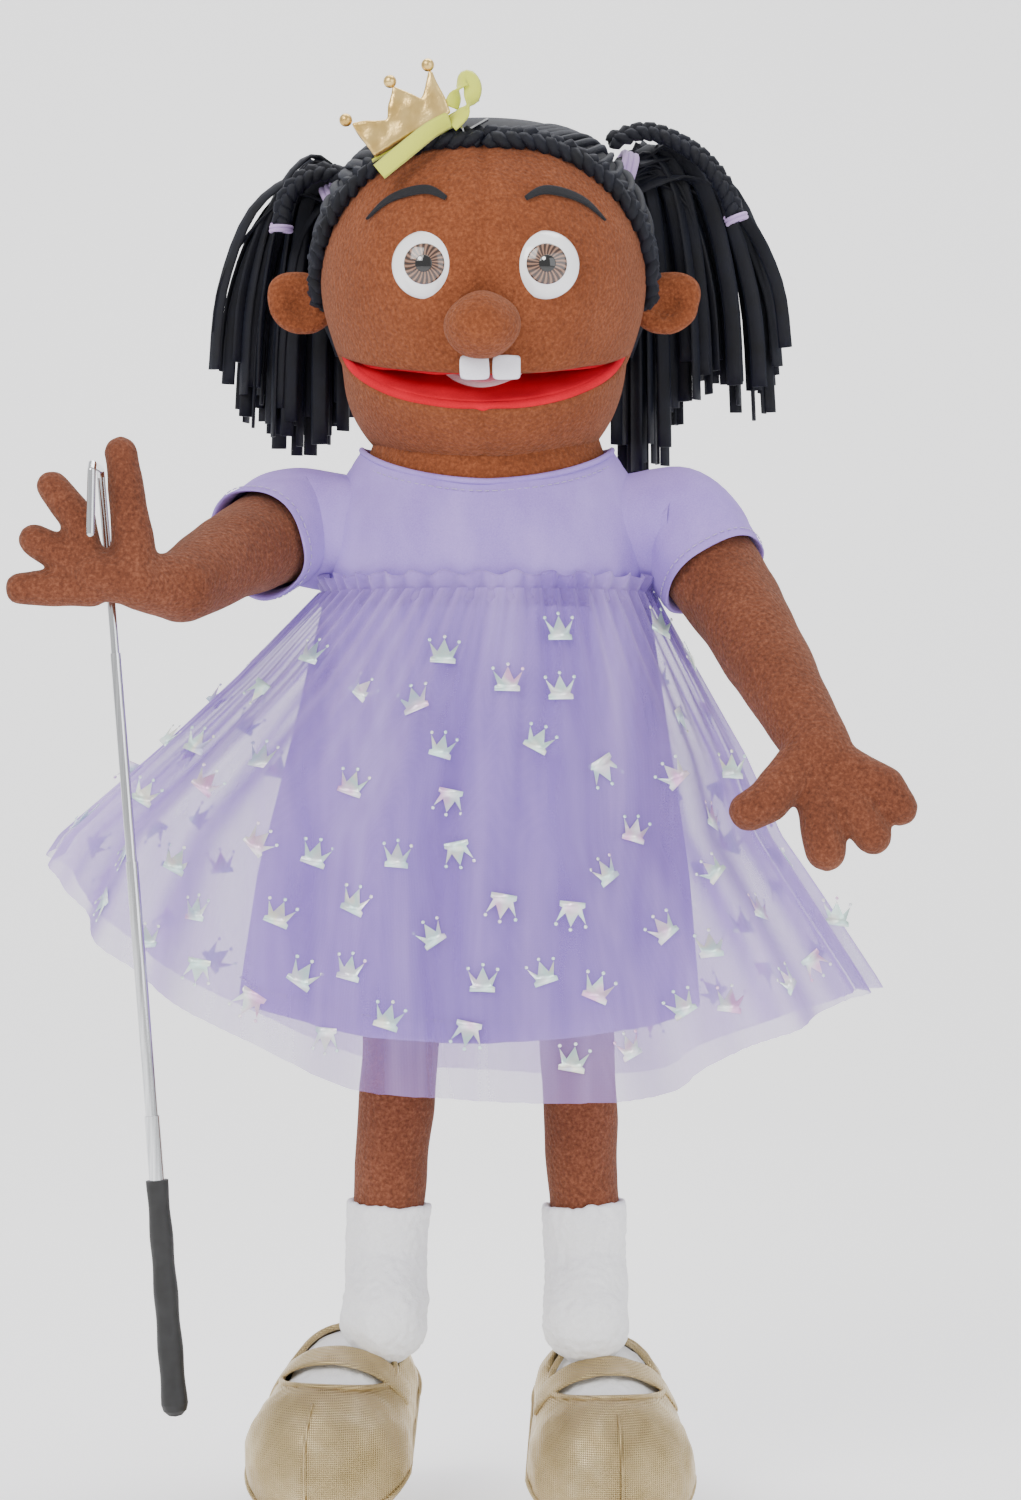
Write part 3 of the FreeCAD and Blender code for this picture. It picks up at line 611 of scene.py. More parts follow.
def head_skin():
    """Upper head and back of the head, ending in a rolled upper lip and at the nape."""
    columns, steps = 144, 46
    rows = [[] for _ in range(steps + 1 + len(UPPER_LIP_ROLL))]
    for c in range(columns):
        angle = -90 + 360 * c / columns
        a = math.radians(angle)
        out = ellipse_point(1, 1, a)
        share = smoothstep(-4, BACK_START + 12, 70 * math.sin(a))
        end = lip_height(angle, UPPER_SLOPE, HEAD_PROFILE) * (1 - share) + NAPE_Z * share
        for s in range(steps + 1):
            turn = math.pi / 2 * s / steps
            z = end + (HEAD_TOP - end) * math.cos(turn)
            p = on_head(angle, z, -0.25 * (s == steps))
            lift = seam_lift(p.x, 2.0, 1.6, 3.4) if math.sin(a) < 0 else 0.0
            rows[s].append(p + out * lift)
        roll_edge(rows, out, UPPER_LIP_ROLL)
    obj = skin("head_skin", rows, FACE)
    return ripple(subdivide(obj), 26, 0.8, 3)


def jaw_skin():
    """Chin and lower lip; its back edge tucks into the cheeks."""
    low_z, hole = JAW_PROFILE[0][1], 40.0
    outline = [Vector((profile_radius(JAW_PROFILE, low_z + i * 0.5), low_z + i * 0.5, 0)) for i in range(137)]
    start, stop, columns, steps = -202.0, 22.0, 110, 30
    rows = [[] for _ in range(steps + 1 + len(LOWER_LIP_ROLL))]
    for c in range(columns + 1):
        angle = start + (stop - start) * c / columns
        a = math.radians(angle)
        top = lip_height(angle, LOWER_SLOPE, JAW_PROFILE)
        run = [p for p in outline if p.y <= top and p.x >= hole - 8]
        run.append(Vector((profile_radius(JAW_PROFILE, top), top, 0)))
        lengths = [0.0]
        for p, q in zip(run, run[1:]):
            lengths.append(lengths[-1] + (q - p).length)
        out = ellipse_point(1, 1, a)
        back = smoothstep(-8, 16, 68 * math.sin(a))
        for s in range(steps + 1):
            want = lengths[-1] * s / steps
            i = max(k for k, value in enumerate(lengths) if value <= want + TINY)
            i = min(i, len(run) - 2)
            gap = max(lengths[i + 1] - lengths[i], TINY)
            p = run[i].lerp(run[i + 1], min((want - lengths[i]) / gap, 1.0))
            place = Vector((HEAD_X, 0, p.y)) + out * (p.x - 2.2 * back)
            rows[s].append(place + out * seam_lift(place.x, 1.8, 1.4, 3.0))
        roll_edge(rows, out, LOWER_LIP_ROLL)
    obj = solidify(skin("jaw_skin", rows, FACE, closed=False), 2.0)
    return ripple(subdivide(obj), 24, 0.7, 9)


def mouth_floor(name, slope, profile, inset, sag, lift):
    """A mouth lining: a fan from the hinge line out to the lip."""
    rows = []
    columns, steps = 60, 22
    for s in range(1, steps + 1):
        row = []
        dip = sag * math.sin(math.pi * s / steps)
        for c in range(columns + 1):
            angle = -181.0 + 182.0 * c / columns
            r = (profile_radius(profile, lip_height(angle, slope, profile)) - inset) * s / steps
            a = math.radians(angle)
            row.append(round_head(r, a, HINGE_Z + min(r * math.sin(a), 0) * slope + lift - dip))
        rows.append(row)
    return ripple(subdivide(solidify(skin(name, rows, RED, closed=False), 1.6, 0.0)), 14, 0.8, 2)


def tongue():
    """A felt tongue, wide at the back and rounded at the tip, with a paler edge."""
    pieces = []
    for name, grow, lift, mat in (("tongue_rim", 1.0, 1.4, TONGUE_EDGE), ("tongue_face", 0.88, 2.6, TONGUE)):
        corners = [Vector((HEAD_X + x * grow, y * grow + (1 - grow) * -28, 0)) for x, y in TONGUE_OUTLINE]
        flat = curve_through(corners + corners[:1], 6)[:-1]
        edge = [Vector((p.x, p.y, HINGE_Z + p.y * LOWER_SLOPE + lift + 3.4)) for p in flat]
        middle = sum(edge, Vector()) / len(edge)
        rows = [edge]
        for share, rise in ((0.7, 0.7), (0.35, 1.0)):
            rows.append([middle.lerp(p, share) + Vector((0, 0, rise)) for p in edge])
        pieces.append(solidify(skin(name, rows, mat, True, False, True), 1.6, 0.0))
    return pieces


def tooth(name, x_low, x_high):
    """A felt tooth with rounded lower corners."""
    bm = bmesh.new()
    bmesh.ops.create_cube(bm, size=1.0)
    bmesh.ops.scale(bm, vec=Vector((x_high - x_low, 2.2, TOOTH_TOP - TOOTH_LOW)), verts=bm.verts)
    middle = Vector(((x_low + x_high) / 2, -70.0, (TOOTH_TOP + TOOTH_LOW) / 2))
    bmesh.ops.translate(bm, vec=middle, verts=bm.verts)
    bmesh.ops.bevel(bm, geom=bm.edges, offset=0.55, segments=2, affect="EDGES")
    return ripple(subdivide(finish_mesh(name, bm, TOOTH)), 5, 0.3, x_low)


def blob(name, centre, half, mat):
    """A stuffed ball with different half sizes."""
    rows = []
    for r in range(1, BLOB_RINGS):
        turn = math.pi * r / BLOB_RINGS
        wide, deep, high = half[0] * math.sin(turn), half[1] * math.sin(turn), half[2] * math.cos(turn)
        rows.append([centre + ellipse_point(wide, deep, a, high) for a in circle_angles(44)])
    return skin(name, rows, mat, True, True, True)


def ear(side):
    """A stuffed ear with a cupped front and a softly pointed top."""
    centre = Vector((HEAD_X + side * 87.0, 4.0, 573.5))
    obj = blob("ear_" + SIDE_WORD[side], Vector((0, 0, 0)), (17.0, 6.5, 15.0), FACE)
    for v in obj.data.vertices:
        p = v.co / MM
        out = p.x * side
        reach = math.exp(-((out - 1) / 8.5) ** 2 - ((p.z + 1) / 7.5) ** 2)
        if p.y < 0:
            p.y += 7.0 * reach
        p.z += 2.5 * smoothstep(0, 17, out) * (1 if p.z > -4 else 0.3)
        p.x += side * 1.5 * smoothstep(0, 15, p.z)
        v.co = (p + centre) * MM
    return ripple(subdivide(obj), 9, 0.5, side)


def cap_disc(name, centre, radius, height, mat, normal):
    """A shallow dome with its back closed, facing along normal."""
    rings, round_count = 14, 48
    sphere = (radius * radius + height * height) / (2 * height)
    turn = Vector((0, 0, 1)).rotation_difference(normal.normalized())
    circles = [(radius, -CAP_DEPTH)]
    for r in range(rings + 1):
        d = radius * (1 - r / rings) if r < rings else 0.02
        circles.append((d, math.sqrt(max(sphere * sphere - d * d, 0)) - (sphere - height)))
    angles = circle_angles(round_count)
    rows = [[centre + turn @ ellipse_point(d, d, a, z) for a in angles] for d, z in circles]
    return skin(name, rows, mat, True, True, True)


def eye(side):
    """White dome, printed iris, pupil and a small painted highlight dot."""
    word = SIDE_WORD[side]
    low, high = box_mm("eye_white_" + word)
    centre = Vector(((low.x + high.x) / 2, low.y + EYE_INSET, 581.0))
    normal = Vector((side * 0.10, -1, -0.05))
    front = normal.normalized()
    layers = (("eyeball_", 0.0, (0, 0, 0), 15.6, 7.2, EYE), ("iris_", 5.4, (0, 0, 0), 9.3, 2.3, IRIS),
              ("pupil_", 7.4, (0, 0, 0), 3.9, 0.75, PUPIL),
              # the last layer is a painted highlight: a white dot standing in for a reflection
              ("eye_painted_shine_", 8.15, (-1.6, 0, 2.2), 0.85, 0.3, PAINTED_HIGHLIGHT))
    return [cap_disc(name + word, centre + front * out + Vector(shift), radius, height, mat, normal)
            for name, out, shift, radius, height, mat in layers]


BROW_PATH = [(55.0, 604.0), (46.0, 611.5), (36.0, 615.0), (26.0, 615.5), (18.0, 611.0)]
BROW_WIDTH = [0.5, 3.0, 4.4, 4.4, 2.4]


def eyebrow(side):
    """A tapered felt eyebrow on the curve of the brow."""
    path = curve_through([Vector((side * x, 0, z)) for x, z in BROW_PATH], 8)
    widths = curve_through([Vector((w, 0, 0)) for w in BROW_WIDTH], 8)
    rows = []
    for (ahead, _), p, w in zip(frames_along(path), path, widths):
        across = Vector((-ahead.z, 0, ahead.x)) * (w.x / 2)
        rows.append([face_point((p + across * k).x, (p + across * k).z, 0.7) for k in (-1, -0.35, 0.35, 1)])
    obj = skin("eyebrow_felt_" + SIDE_WORD[side], rows, BROW, closed=False)
    return subdivide(solidify(obj, 1.5, 1.0))


def hairline(y):
    """Height of the hairline on the head at depth y."""
    if y > 16:
        return 548.0
    return 640.5 - (y + 52) * 1.36 if y > -52 else 640.5


def hair_edge(angle):
    """Height at which the hair starts, at an angle round the head."""
    z = HEAD_TOP - 1
    while z > 549:
        if z <= hairline(on_head(angle, z).y):
            return z
        z -= 0.5
    return 549.0


def hair_cap():
    """The cap under the strips, from the hairline back."""
    columns, steps = 96, 24
    rows = [[] for _ in range(steps + 2)]
    for c in range(columns):
        angle = -90 + 360 * c / columns
        end = hair_edge(angle)
        for s in range(steps + 1):
            z = end + (HEAD_TOP - 0.4 - end) * math.cos(math.pi / 2 * s / steps)
            p = on_head(angle, z, 2.6)
            p.z += 2.6 * (z - end) / max(HEAD_TOP - end, 1)
            rows[s].append(p)
        rows[steps + 1].append(on_head(angle, end - 0.5, -0.5))
    return subdivide(skin("hair_cap_cloth", rows, HAIR))


TAIL_ROOT = {1: Vector((64, 34, 637)), -1: Vector((-66, 34, 628))}


ROW_COUNT = 15
BACK_HAIR_Z = 551


def tail_angle(root):
    """The angle round the head, in degrees, at which a ponytail starts."""
    return math.degrees(math.atan2(root.y, root.x - HEAD_X))


def cornrows():
    """Flat jersey strips laid from the hairline back to the two ponytails."""
    paths = []
    steps = 14
    for side in (-1, 1):
        root = TAIL_ROOT[side]
        end_angle = tail_angle(root)
        if side < 0:
            end_angle -= 360
        for i in range(ROW_COUNT):
            t = i / (ROW_COUNT - 1)
            angle = -90 + side * (2 + 92 * t)
            start_z = hair_edge(angle) - 1
            points = []
            for s in range(steps + 1):
                u = s / steps
                bend = math.sin(math.pi * u)
                z = start_z + (root.z - start_z) * u + bend * (9 * (1 - t) + 3)
                z = min(z, HEAD_TOP - 2.5 - 3 * t)
                a = angle + (end_angle - angle) * u
                points.append(on_head(a, z, 3.3) + Vector((0, 0, 1.4)))
            paths.append((points, [3.0] * len(points)))
    steps = 12
    for i in range(ROW_COUNT):
        angle = 20 + 140 * i / (ROW_COUNT - 1)
        root = TAIL_ROOT[1 if angle < 90 else -1]
        end_angle = tail_angle(root)
        points = []
        for s in range(steps + 1):
            u = s / steps
            z = BACK_HAIR_Z + (root.z - BACK_HAIR_Z) * u
            points.append(on_head(angle + (end_angle - angle) * u * u, z, 3.2))
        paths.append((points, [3.4] * len(points)))
    return tube_object("hair_rows", paths, HAIR, 8, 0.62)


def braid_paths(spine, radius, strand, turns_per_mm):
    """Three strands crossing over each other along a spine."""
    paths = []
    sides = frames_along(spine)
    length = 0.0
    distances = [0.0]
    for p, q in zip(spine, spine[1:]):
        length += (q - p).length
        distances.append(length)
    for k in range(3):
        points = []
        for (ahead, s), p, d in zip(sides, spine, distances):
            other = ahead.cross(s)
            phase = 2 * math.pi * (d * turns_per_mm + k / 3)
            points.append(p + s * (radius * math.sin(phase)) + other * (radius * 0.5 * math.sin(2 * phase)))
        paths.append((points, [strand] * len(points)))
    return paths


def hairline_braids():
    """Two braids along the hairline, from the middle of the forehead down to each ear."""
    paths = []
    for side in (-1, 1):
        spine = []
        for i in range(46):
            angle = -90 + side * (1 + 88 * i / 45)
            z = hair_edge(angle)
            spine.append(on_head(angle, z, 2.2) + Vector((0, -0.5, 1.5)))
        paths += braid_paths(spine, 3.5, 3.2, 1 / 19)
    return tube_object("hairline_braids", paths, HAIR, 8, 0.8)


def strip_path(root, lift, tip):
    """A strip that springs from the root, arches out and hangs to its tip."""
    out = tip - root
    top = root + Vector((out.x * 0.35, out.y * 0.5, lift))
    shoulder = root + Vector((out.x * 0.72, out.y * 0.8, lift * 0.45 - 14))
    middle = Vector((tip.x - out.x * 0.06, tip.y, (shoulder.z + tip.z) / 2))
    return curve_through([root, top, shoulder, middle, tip], 4)


def ponytail(side, spread, heights, count):
    """A bunch of cut jersey strips."""
    rng = random.Random(SEED + side)
    bm = bmesh.new()
    root = TAIL_ROOT[side]
    for i in range(count):
        t = (i + 0.5) / count
        x = spread[0] + (spread[1] - spread[0]) * t + rng.uniform(-6, 6)
        place = t * (len(heights) - 1)
        k = min(int(place), len(heights) - 2)
        z = heights[k] + (heights[k + 1] - heights[k]) * (place - k) + rng.uniform(-11, 15)
        y = 46 + rng.uniform(-12, 13)
        start = root + Vector((side * rng.uniform(0, 7), rng.uniform(-5, 8), rng.uniform(-8, 8)))
        lift = 14 * (1 - t * 0.2) * rng.uniform(0.5, 1.25) - 4 * (1 - t)
        path = strip_path(start, lift, Vector((side * x, y, z)))
        spin = rng.uniform(0, math.pi)
        flat_side = Vector((math.cos(spin), math.sin(spin), 0.1))
        width = rng.uniform(2.8, 4.3)
        add_tube(bm, path, [width] * len(path), 8, 0.30, flat_side)
    return finish_mesh("tail_strips_" + SIDE_WORD[side], bm, HAIR)


def ring(name, centre, axis, radius, thick, turns):
    """A hair elastic wound round several times."""
    turn = Vector((0, 0, 1)).rotation_difference(axis.normalized())
    count = int(40 * turns)
    points = []
    for i in range(count + 1):
        height = (i / count - 0.5) * thick * 1.7 * turns
        points.append(centre + turn @ ellipse_point(radius, radius, 2 * math.pi * turns * i / count, height))
    return tube_object(name, [(points, [thick] * len(points))], LILAC_BAND, 8)


def side_braid(side, places):
    """A thin outer braid that ends in a small elastic."""
    spine = curve_through([Vector((side * x, y, z)) for x, y, z in places], 9)
    word = SIDE_WORD[side]
    braid = tube_object("outer_braid_" + word, braid_paths(spine, 2.9, 2.7, 1 / 17), HAIR, 8)
    return braid, ring("braid_band_" + word, spine[-1], spine[-1] - spine[-3], 5.0, 1.0, 2.0)


BODICE_LOW_Z = 429
BODICE_WIDTHS = ((76, 50), (78, 52), (78.5, 51), (76, 49), (68, 46), (60, 43))


def dress_top():
    """The bodice: a smooth plush band that closes in to a bound round neck."""
    steps = 26
    rows = [[] for _ in range(steps + 1)]
    widths = curve_through([Vector((x, y, 0)) for x, y in BODICE_WIDTHS], 8)
    for a in circle_angles(96):
        front = max(-math.sin(a), 0.0)
        neck_z = 501 - 17 * front ** 1.3 + 1.5 * abs(math.cos(a))
        for s in range(steps + 1):
            v = s / steps
            size = widths[min(int(v * (len(widths) - 1)), len(widths) - 1)]
            rows[s].append(ellipse_point(size.x, size.y, a, BODICE_LOW_Z + (neck_z - BODICE_LOW_Z) * v))
    cloth = subdivide(solidify(skin("dress_top_plush", rows, DRESS), 1.8))
    return ripple(cloth, 30, 1.6, 5), rows[-1]


def piping(name, points, radius, mat, closed=True):
    """A round cord along a path."""
    path = points + [points[0].copy(), points[1].copy()] if closed else points
    return tube_object(name, [(path, [radius] * len(path))], mat, 8)


STITCH_LENGTH = 2.4
STITCH_PITCH = STITCH_LENGTH + 1.4
THREAD_RADIUS = 0.28


def stitches(name, points):
    """A run of short thread stitches along a path."""
    paths = []
    travelled = 0.0
    start = None
    for p, q in zip(points, points[1:]):
        step = (q - p).length
        place = travelled % STITCH_PITCH
        if place < STITCH_LENGTH and start is None:
            start = [p.copy()]
        if start is not None:
            start.append(q.copy())
            if (travelled + step) % STITCH_PITCH >= STITCH_LENGTH or len(start) > 12:
                paths.append((start, [THREAD_RADIUS] * len(start)))
                start = None
        travelled += step
    return tube_object(name, paths, THREAD, 5)


def dense(points, spacing):
    """Finely spaced points once round a closed path."""
    out = []
    for p, q in zip(points, points[1:] + points[:1]):
        n = max(int((q - p).length / spacing), 1)
        out += [p.lerp(q, k / n) for k in range(n)]
    out.append(points[0].copy())
    return out


def sleeve(side, elbow):
    """A short puffed sleeve from the side of the bodice to a turned cuff."""
    shoulder = Vector((side * 93, 0, 466))
    along = (elbow - shoulder).normalized()
    path = curve_through([Vector((side * 56, 2, 461)), Vector((side * 75, 1, 463.5)), shoulder,
                          shoulder + along * 18, shoulder + along * 34], 6)
    sizes = curve_through([Vector((r, 0, 0)) for r in (27, 28.0, 28.2, 27.6, 26.8)], 6)
    rows = []
    up = Vector((0, 0, 1))
    for (ahead, _), p, size in zip(frames_along(path), path, sizes):
        s = (up - ahead * up.dot(ahead)).normalized()
        other = ahead.cross(s)
        row = []
        for t in circle_angles(56):
            r = size.x + 0.5 * math.sin(5 * t + side)
            row.append(p + s * (r * math.cos(t)) + other * (r * math.sin(t)))
        rows.append(row)
    word = SIDE_WORD[side]
    inner = [p - (p - path[-1]).normalized() * 1.8 - along * 2 for p in rows[-1]]
    deeper = [p - (p - path[-1]).normalized() * 2.0 - along * 10 for p in rows[-1]]
    obj = skin("sleeve_plush_" + word, rows + [inner, deeper], DRESS)
    ripple(subdivide(obj), 20, 0.9, side * 4)
    hem = [p - along * 4.5 + (p - path[-1]).normalized() * 0.9 for p in rows[-1]]
    return obj, stitches("sleeve_hem_stitch_" + word, dense(hem, 0.6))


# ---------------------------------------------------------------- skirt
def between(sections, z):
    """Interpolate (centre, half width, half depth, power) at height z."""
    if z >= sections[0][0]:
        return sections[0][1:]
    for high, low in zip(sections, sections[1:]):
        if low[0] <= z <= high[0]:
            t = (high[0] - z) / (high[0] - low[0])
            return [a + (b - a) * t for a, b in zip(high[1:], low[1:])]
    return sections[-1][1:]


def hem_height(hem, x):
    """Height of a hem curve at x."""
    if x <= hem[0].x:
        return hem[0].z
    for p, q in zip(hem, hem[1:]):
        if p.x <= x <= q.x:
            return p.z + (q.z - p.z) * (x - p.x) / (q.x - p.x)
    return hem[-1].z


TULLE_SECTIONS = [(434, 0, 79.5, 54, 1.0), (394, -9, 110, 62, 1.15), (356, -20, 141, 68, 1.35),
                  (318, -34, 170, 72, 1.55), (250, -33, 214, 75, 1.7), (190, -32, 248, 76, 1.7)]
TULLE_HEM = curve_through([Vector((x, 0, z)) for x, z in (
    (-215, 328), (-196, 288), (-160, 252), (-112, 226), (-60, 204), (20, 197), (84, 200), (104, 212),
    (146, 229), (204, 253))], 6)
LINING_SECTIONS = [(432, 0, 77, 51.5, 1.0), (375, -3, 88, 58, 1.0), (300, -8, 103, 64, 1.0),
                   (215, -11, 113, 68, 1.0)]
LINING_HEM = curve_through([Vector((x, 0, z)) for x, z in (
    (-135, 244), (-60, 227), (6, 224), (72, 229), (125, 242))], 8)
LOWEST_HEM_Z = 185


def skirt_point(sections, angle, z, fold, folds, phase, top):
    """A point on a gathered skirt: fold is the depth of the pleats at the hem."""
    cx, hx, hy, power = between(sections, z)
    s = math.sin(angle)
    y = hy * math.copysign(abs(s) ** power, s)
    x = cx + hx * math.cos(angle)
    drop = smoothstep(top, top - 150, z)
    wave = math.sin(folds * angle + phase + 1.3 * math.sin(3 * angle))
    wave += 0.45 * math.sin(folds * 1.73 * angle + 2.1 * phase)
    gather = 1.5 * math.sin(58 * angle) * smoothstep(top - 120, top, z)
    push = fold * drop * wave * 0.6 + gather
    normal = Vector((math.cos(angle) / hx, math.sin(angle) / hy, 0)).normalized()
    return Vector((x, y, z)) + normal * push


def skirt_rows(sections, hem, columns, steps, fold, folds, phase, top):
    """Rows of a gathered skirt from its top down to its hem curve."""
    rows = [[] for _ in range(steps + 1)]
    for angle in circle_angles(columns):
        end = top
        while end > LOWEST_HEM_Z:
            cx, hx = between(sections, end)[:2]
            if end <= hem_height(hem, cx + hx * math.cos(angle)):
                break
            end -= 0.5
        for s in range(steps + 1):
            z = top + (end - top) * s / steps
            rows[s].append(skirt_point(sections, angle, z, fold, folds, phase, top))
    return rows


def lining_skirt():
    """The plush skirt under the net, with its hem stitching."""
    rows = skirt_rows(LINING_SECTIONS, LINING_HEM, 200, 40, 3.2, 9, 1.1, 432)
    obj = subdivide(solidify(skin("lining_skirt", rows, DRESS), 1.8))
    edge = rows[-3]
    hem = [edge[i] + (edge[i] - edge[i - 1]).cross(Vector((0, 0, 1))).normalized() * 0.8
           for i in range(len(edge))]
    return obj, stitches("lining_hem_stitch", dense(hem, 0.7))


CROWN_SHAPE = [(-6.5, -5.5), (6.5, -5.5), (6.5, -3.0), (5.0, -2.2), (7.6, 5.0), (3.2, 0.4), (0.0, 7.2),
               (-3.2, 0.4), (-7.6, 5.0), (-5.0, -2.2), (-6.5, -3.0)]
CROWN_TIPS = ((-7.6, 6.2), (0.0, 8.4), (7.6, 6.2))
CROWN_SPACING = 24
CROWN_TRIES = 4000


def foil_crowns(rows, count):
    """Small foil crowns printed all over the net, turned every way."""
    rng = random.Random(SEED)
    bm = bmesh.new()
    columns = len(rows[0])
    made = []
    tries = 0
    while len(made) < count and tries < CROWN_TRIES:
        tries += 1
        c = rng.randrange(columns)
        s = int(3 + (len(rows) - 8) * math.sqrt(rng.random()))
        here = rows[s][c]
        if any((here - p).length < CROWN_SPACING for p in made):
            continue
        across = (rows[s][(c + 3) % columns] - rows[s][c - 3]).normalized()
        down = (rows[s + 2][c] - rows[s - 2][c]).normalized()
        normal = across.cross(down).normalized()
        if normal.dot(Vector((here.x + 20, here.y * 3, 0))) < 0:
            normal = -normal
        made.append(here)
        turn = rng.choice((0.0, 0.2, -0.3, 2.9, 3.3, 0.5, -0.6))
        side = across * math.cos(turn) + down * math.sin(turn)
        up = normal.cross(side)
        shapes = [CROWN_SHAPE]
        for x, y in CROWN_TIPS:
            shapes.append([(x + math.cos(t), y + math.sin(t)) for t in circle_angles(6)])
        for shape in shapes:
            bm.faces.new([bm.verts.new(here + normal * 1.1 + (side * x + up * y) * 0.9) for x, y in shape])
    obj = finish_mesh("foil_crowns", bm, FOIL, smooth=False)
    return solidify(obj, 0.25, 0.0)


GATHER_ROWS = ((1.5, 426, 0.9), (3.2, 429.5, 1.4), (2.4, 432, 0.4), (2.2, 433.5, 0.2), (3.0, 435.5, 0.9),
               (4.4, 439, 1.6), (5.0, 441, 2.0))     # outward, height and depth of the ruffle


def waist_gathers():
    """The ruffled net heading at the waist."""
    rows = [[] for _ in GATHER_ROWS]
    for a in circle_angles(480):
        wob = math.sin(47 * a + 2 * math.sin(5 * a))
        for s, (grow, z, amount) in enumerate(GATHER_ROWS):
            lift = grow + amount * wob
            tall = 1.2 * math.sin(31 * a + 1.0) * (s > 4)
            rows[s].append(ellipse_point(76.5 + lift, 51 + lift, a, z + tall))
    return solidify(skin("waist_gathers", rows, TULLE), 0.5, 0.0)


# ---------------------------------------------------------------- limbs, socks, shoes
WINDOW = Vector((26.5, 26.0, 11.0))     # half width, half length and middle of the shoe's opening
SHOE_AXIS_Z = -6                        # height of the line that the rounded upper is drawn round
TOE_Y, HEEL_Y = -21, 26
TOE_RADIUS, HEEL_RADIUS = 39, 31


def shoe_turn(side):
    """The tilt of a hanging shoe and the place of its middle."""
    lean = math.radians(-14.0 if side < 0 else 6.0)
    place = Vector((-69, -46, 48)) if side < 0 else Vector((56, -46, 43))
    swing = Matrix.Rotation(lean, 4, "Z") @ Matrix.Rotation(math.radians(32), 4, "X")
    return Matrix.Translation(place) @ swing


def shoe_radius(y):
    """Radius of the rounded upper, which widens from the heel to the toe."""
    return HEEL_RADIUS + (TOE_RADIUS - HEEL_RADIUS) * (HEEL_Y - y) / (HEEL_Y - TOE_Y)


def on_shoe(x, y, lift=0.0):
    """The point on the rounded upper above (x, y)."""
    middle = min(max(y, TOE_Y), HEEL_Y)
    r = shoe_radius(middle) + lift
    return Vector((x, y, SHOE_AXIS_Z + math.sqrt(max(r * r - x * x - (y - middle) ** 2, 4))))


def shoe_seams(side, word):
    """The centre seam over the toe, the sole seam and the bound edge of the opening."""
    turn = shoe_turn(side)
    toe = []
    for i in range(25):
        a = math.pi / 2 * (i / 24) * 0.98 - 0.12
        toe.append(Vector((0, TOE_Y - 39.4 * math.cos(a), SHOE_AXIS_Z + 39.4 * math.sin(a))))
    sole = []
    for a in circle_angles(72):
        r, middle = (38.9, TOE_Y) if math.sin(a) < 0 else (HEEL_RADIUS, HEEL_Y)
        sole.append(Vector((r * math.cos(a), middle + r * math.sin(a), -9.2)))
    edge = [on_shoe(WINDOW.x * math.cos(a), WINDOW.z + WINDOW.y * math.sin(a)) for a in circle_angles(60)]
    bm = bmesh.new()
    for points, radius in ((toe, 0.7), (sole + sole[:1], 1.3), (edge + edge[:2], 1.5)):
        add_tube(bm, [turn @ p for p in points], [radius] * len(points), 8)
    return finish_mesh("shoe_seams_" + word, bm, GOLD)


def shoe_strap(side, word):
    """The lame strap over the instep, from one side of the shoe to the other."""
    turn = shoe_turn(side)
    ends = (3.0, 19.0)
    rows = []
    for y in (ends[0], 4.2, 7.5, 11.0, 14.5, 17.8, ends[1]):
        r = shoe_radius(y) + (0.4 if y in ends else 1.5)
        row = []
        for i in range(41):
            a = math.radians(18 + 144 * i / 40)
            row.append(turn @ Vector((r * math.cos(a), y, SHOE_AXIS_Z + r * math.sin(a))))
        rows.append(row)
    strap = solidify(skin("shoe_strap_gold_" + word, rows, GOLD, closed=False), 1.4)
    return ripple(subdivide(strap), 9, 0.5, side)


def cut_window(obj, side):
    """Open the shoe in front of the strap, where the sock shows."""
    back = shoe_turn(side).inverted()
    bm = bmesh.new()
    bm.from_mesh(obj.data)
    inside = []
    for v in bm.verts:
        p = back @ (v.co / MM)
        if p.z > 0 and (p.x / WINDOW.x) ** 2 + ((p.y - WINDOW.z) / WINDOW.y) ** 2 < 1:
            inside.append(v)
    bmesh.ops.delete(bm, geom=inside, context="VERTS")
    bm.to_mesh(obj.data)
    bm.free()


def sock_instep(side, word):
    """The plush of the sock that fills the shoe's opening."""
    turn = shoe_turn(side)
    rings = 14
    rows = []
    for k in range(1, rings + 1):
        share = 1.12 * k / rings
        wide, long = WINDOW.x * share, WINDOW.y * share
        rows.append([turn @ on_shoe(wide * math.cos(a), WINDOW.z + long * math.sin(a), -3.2)
                     for a in circle_angles(48)])
    cloth = skin("sock_instep_" + word, rows, SOCK, True, True)
    return ripple(subdivide(solidify(cloth, 1.5)), 4, 0.6, side)


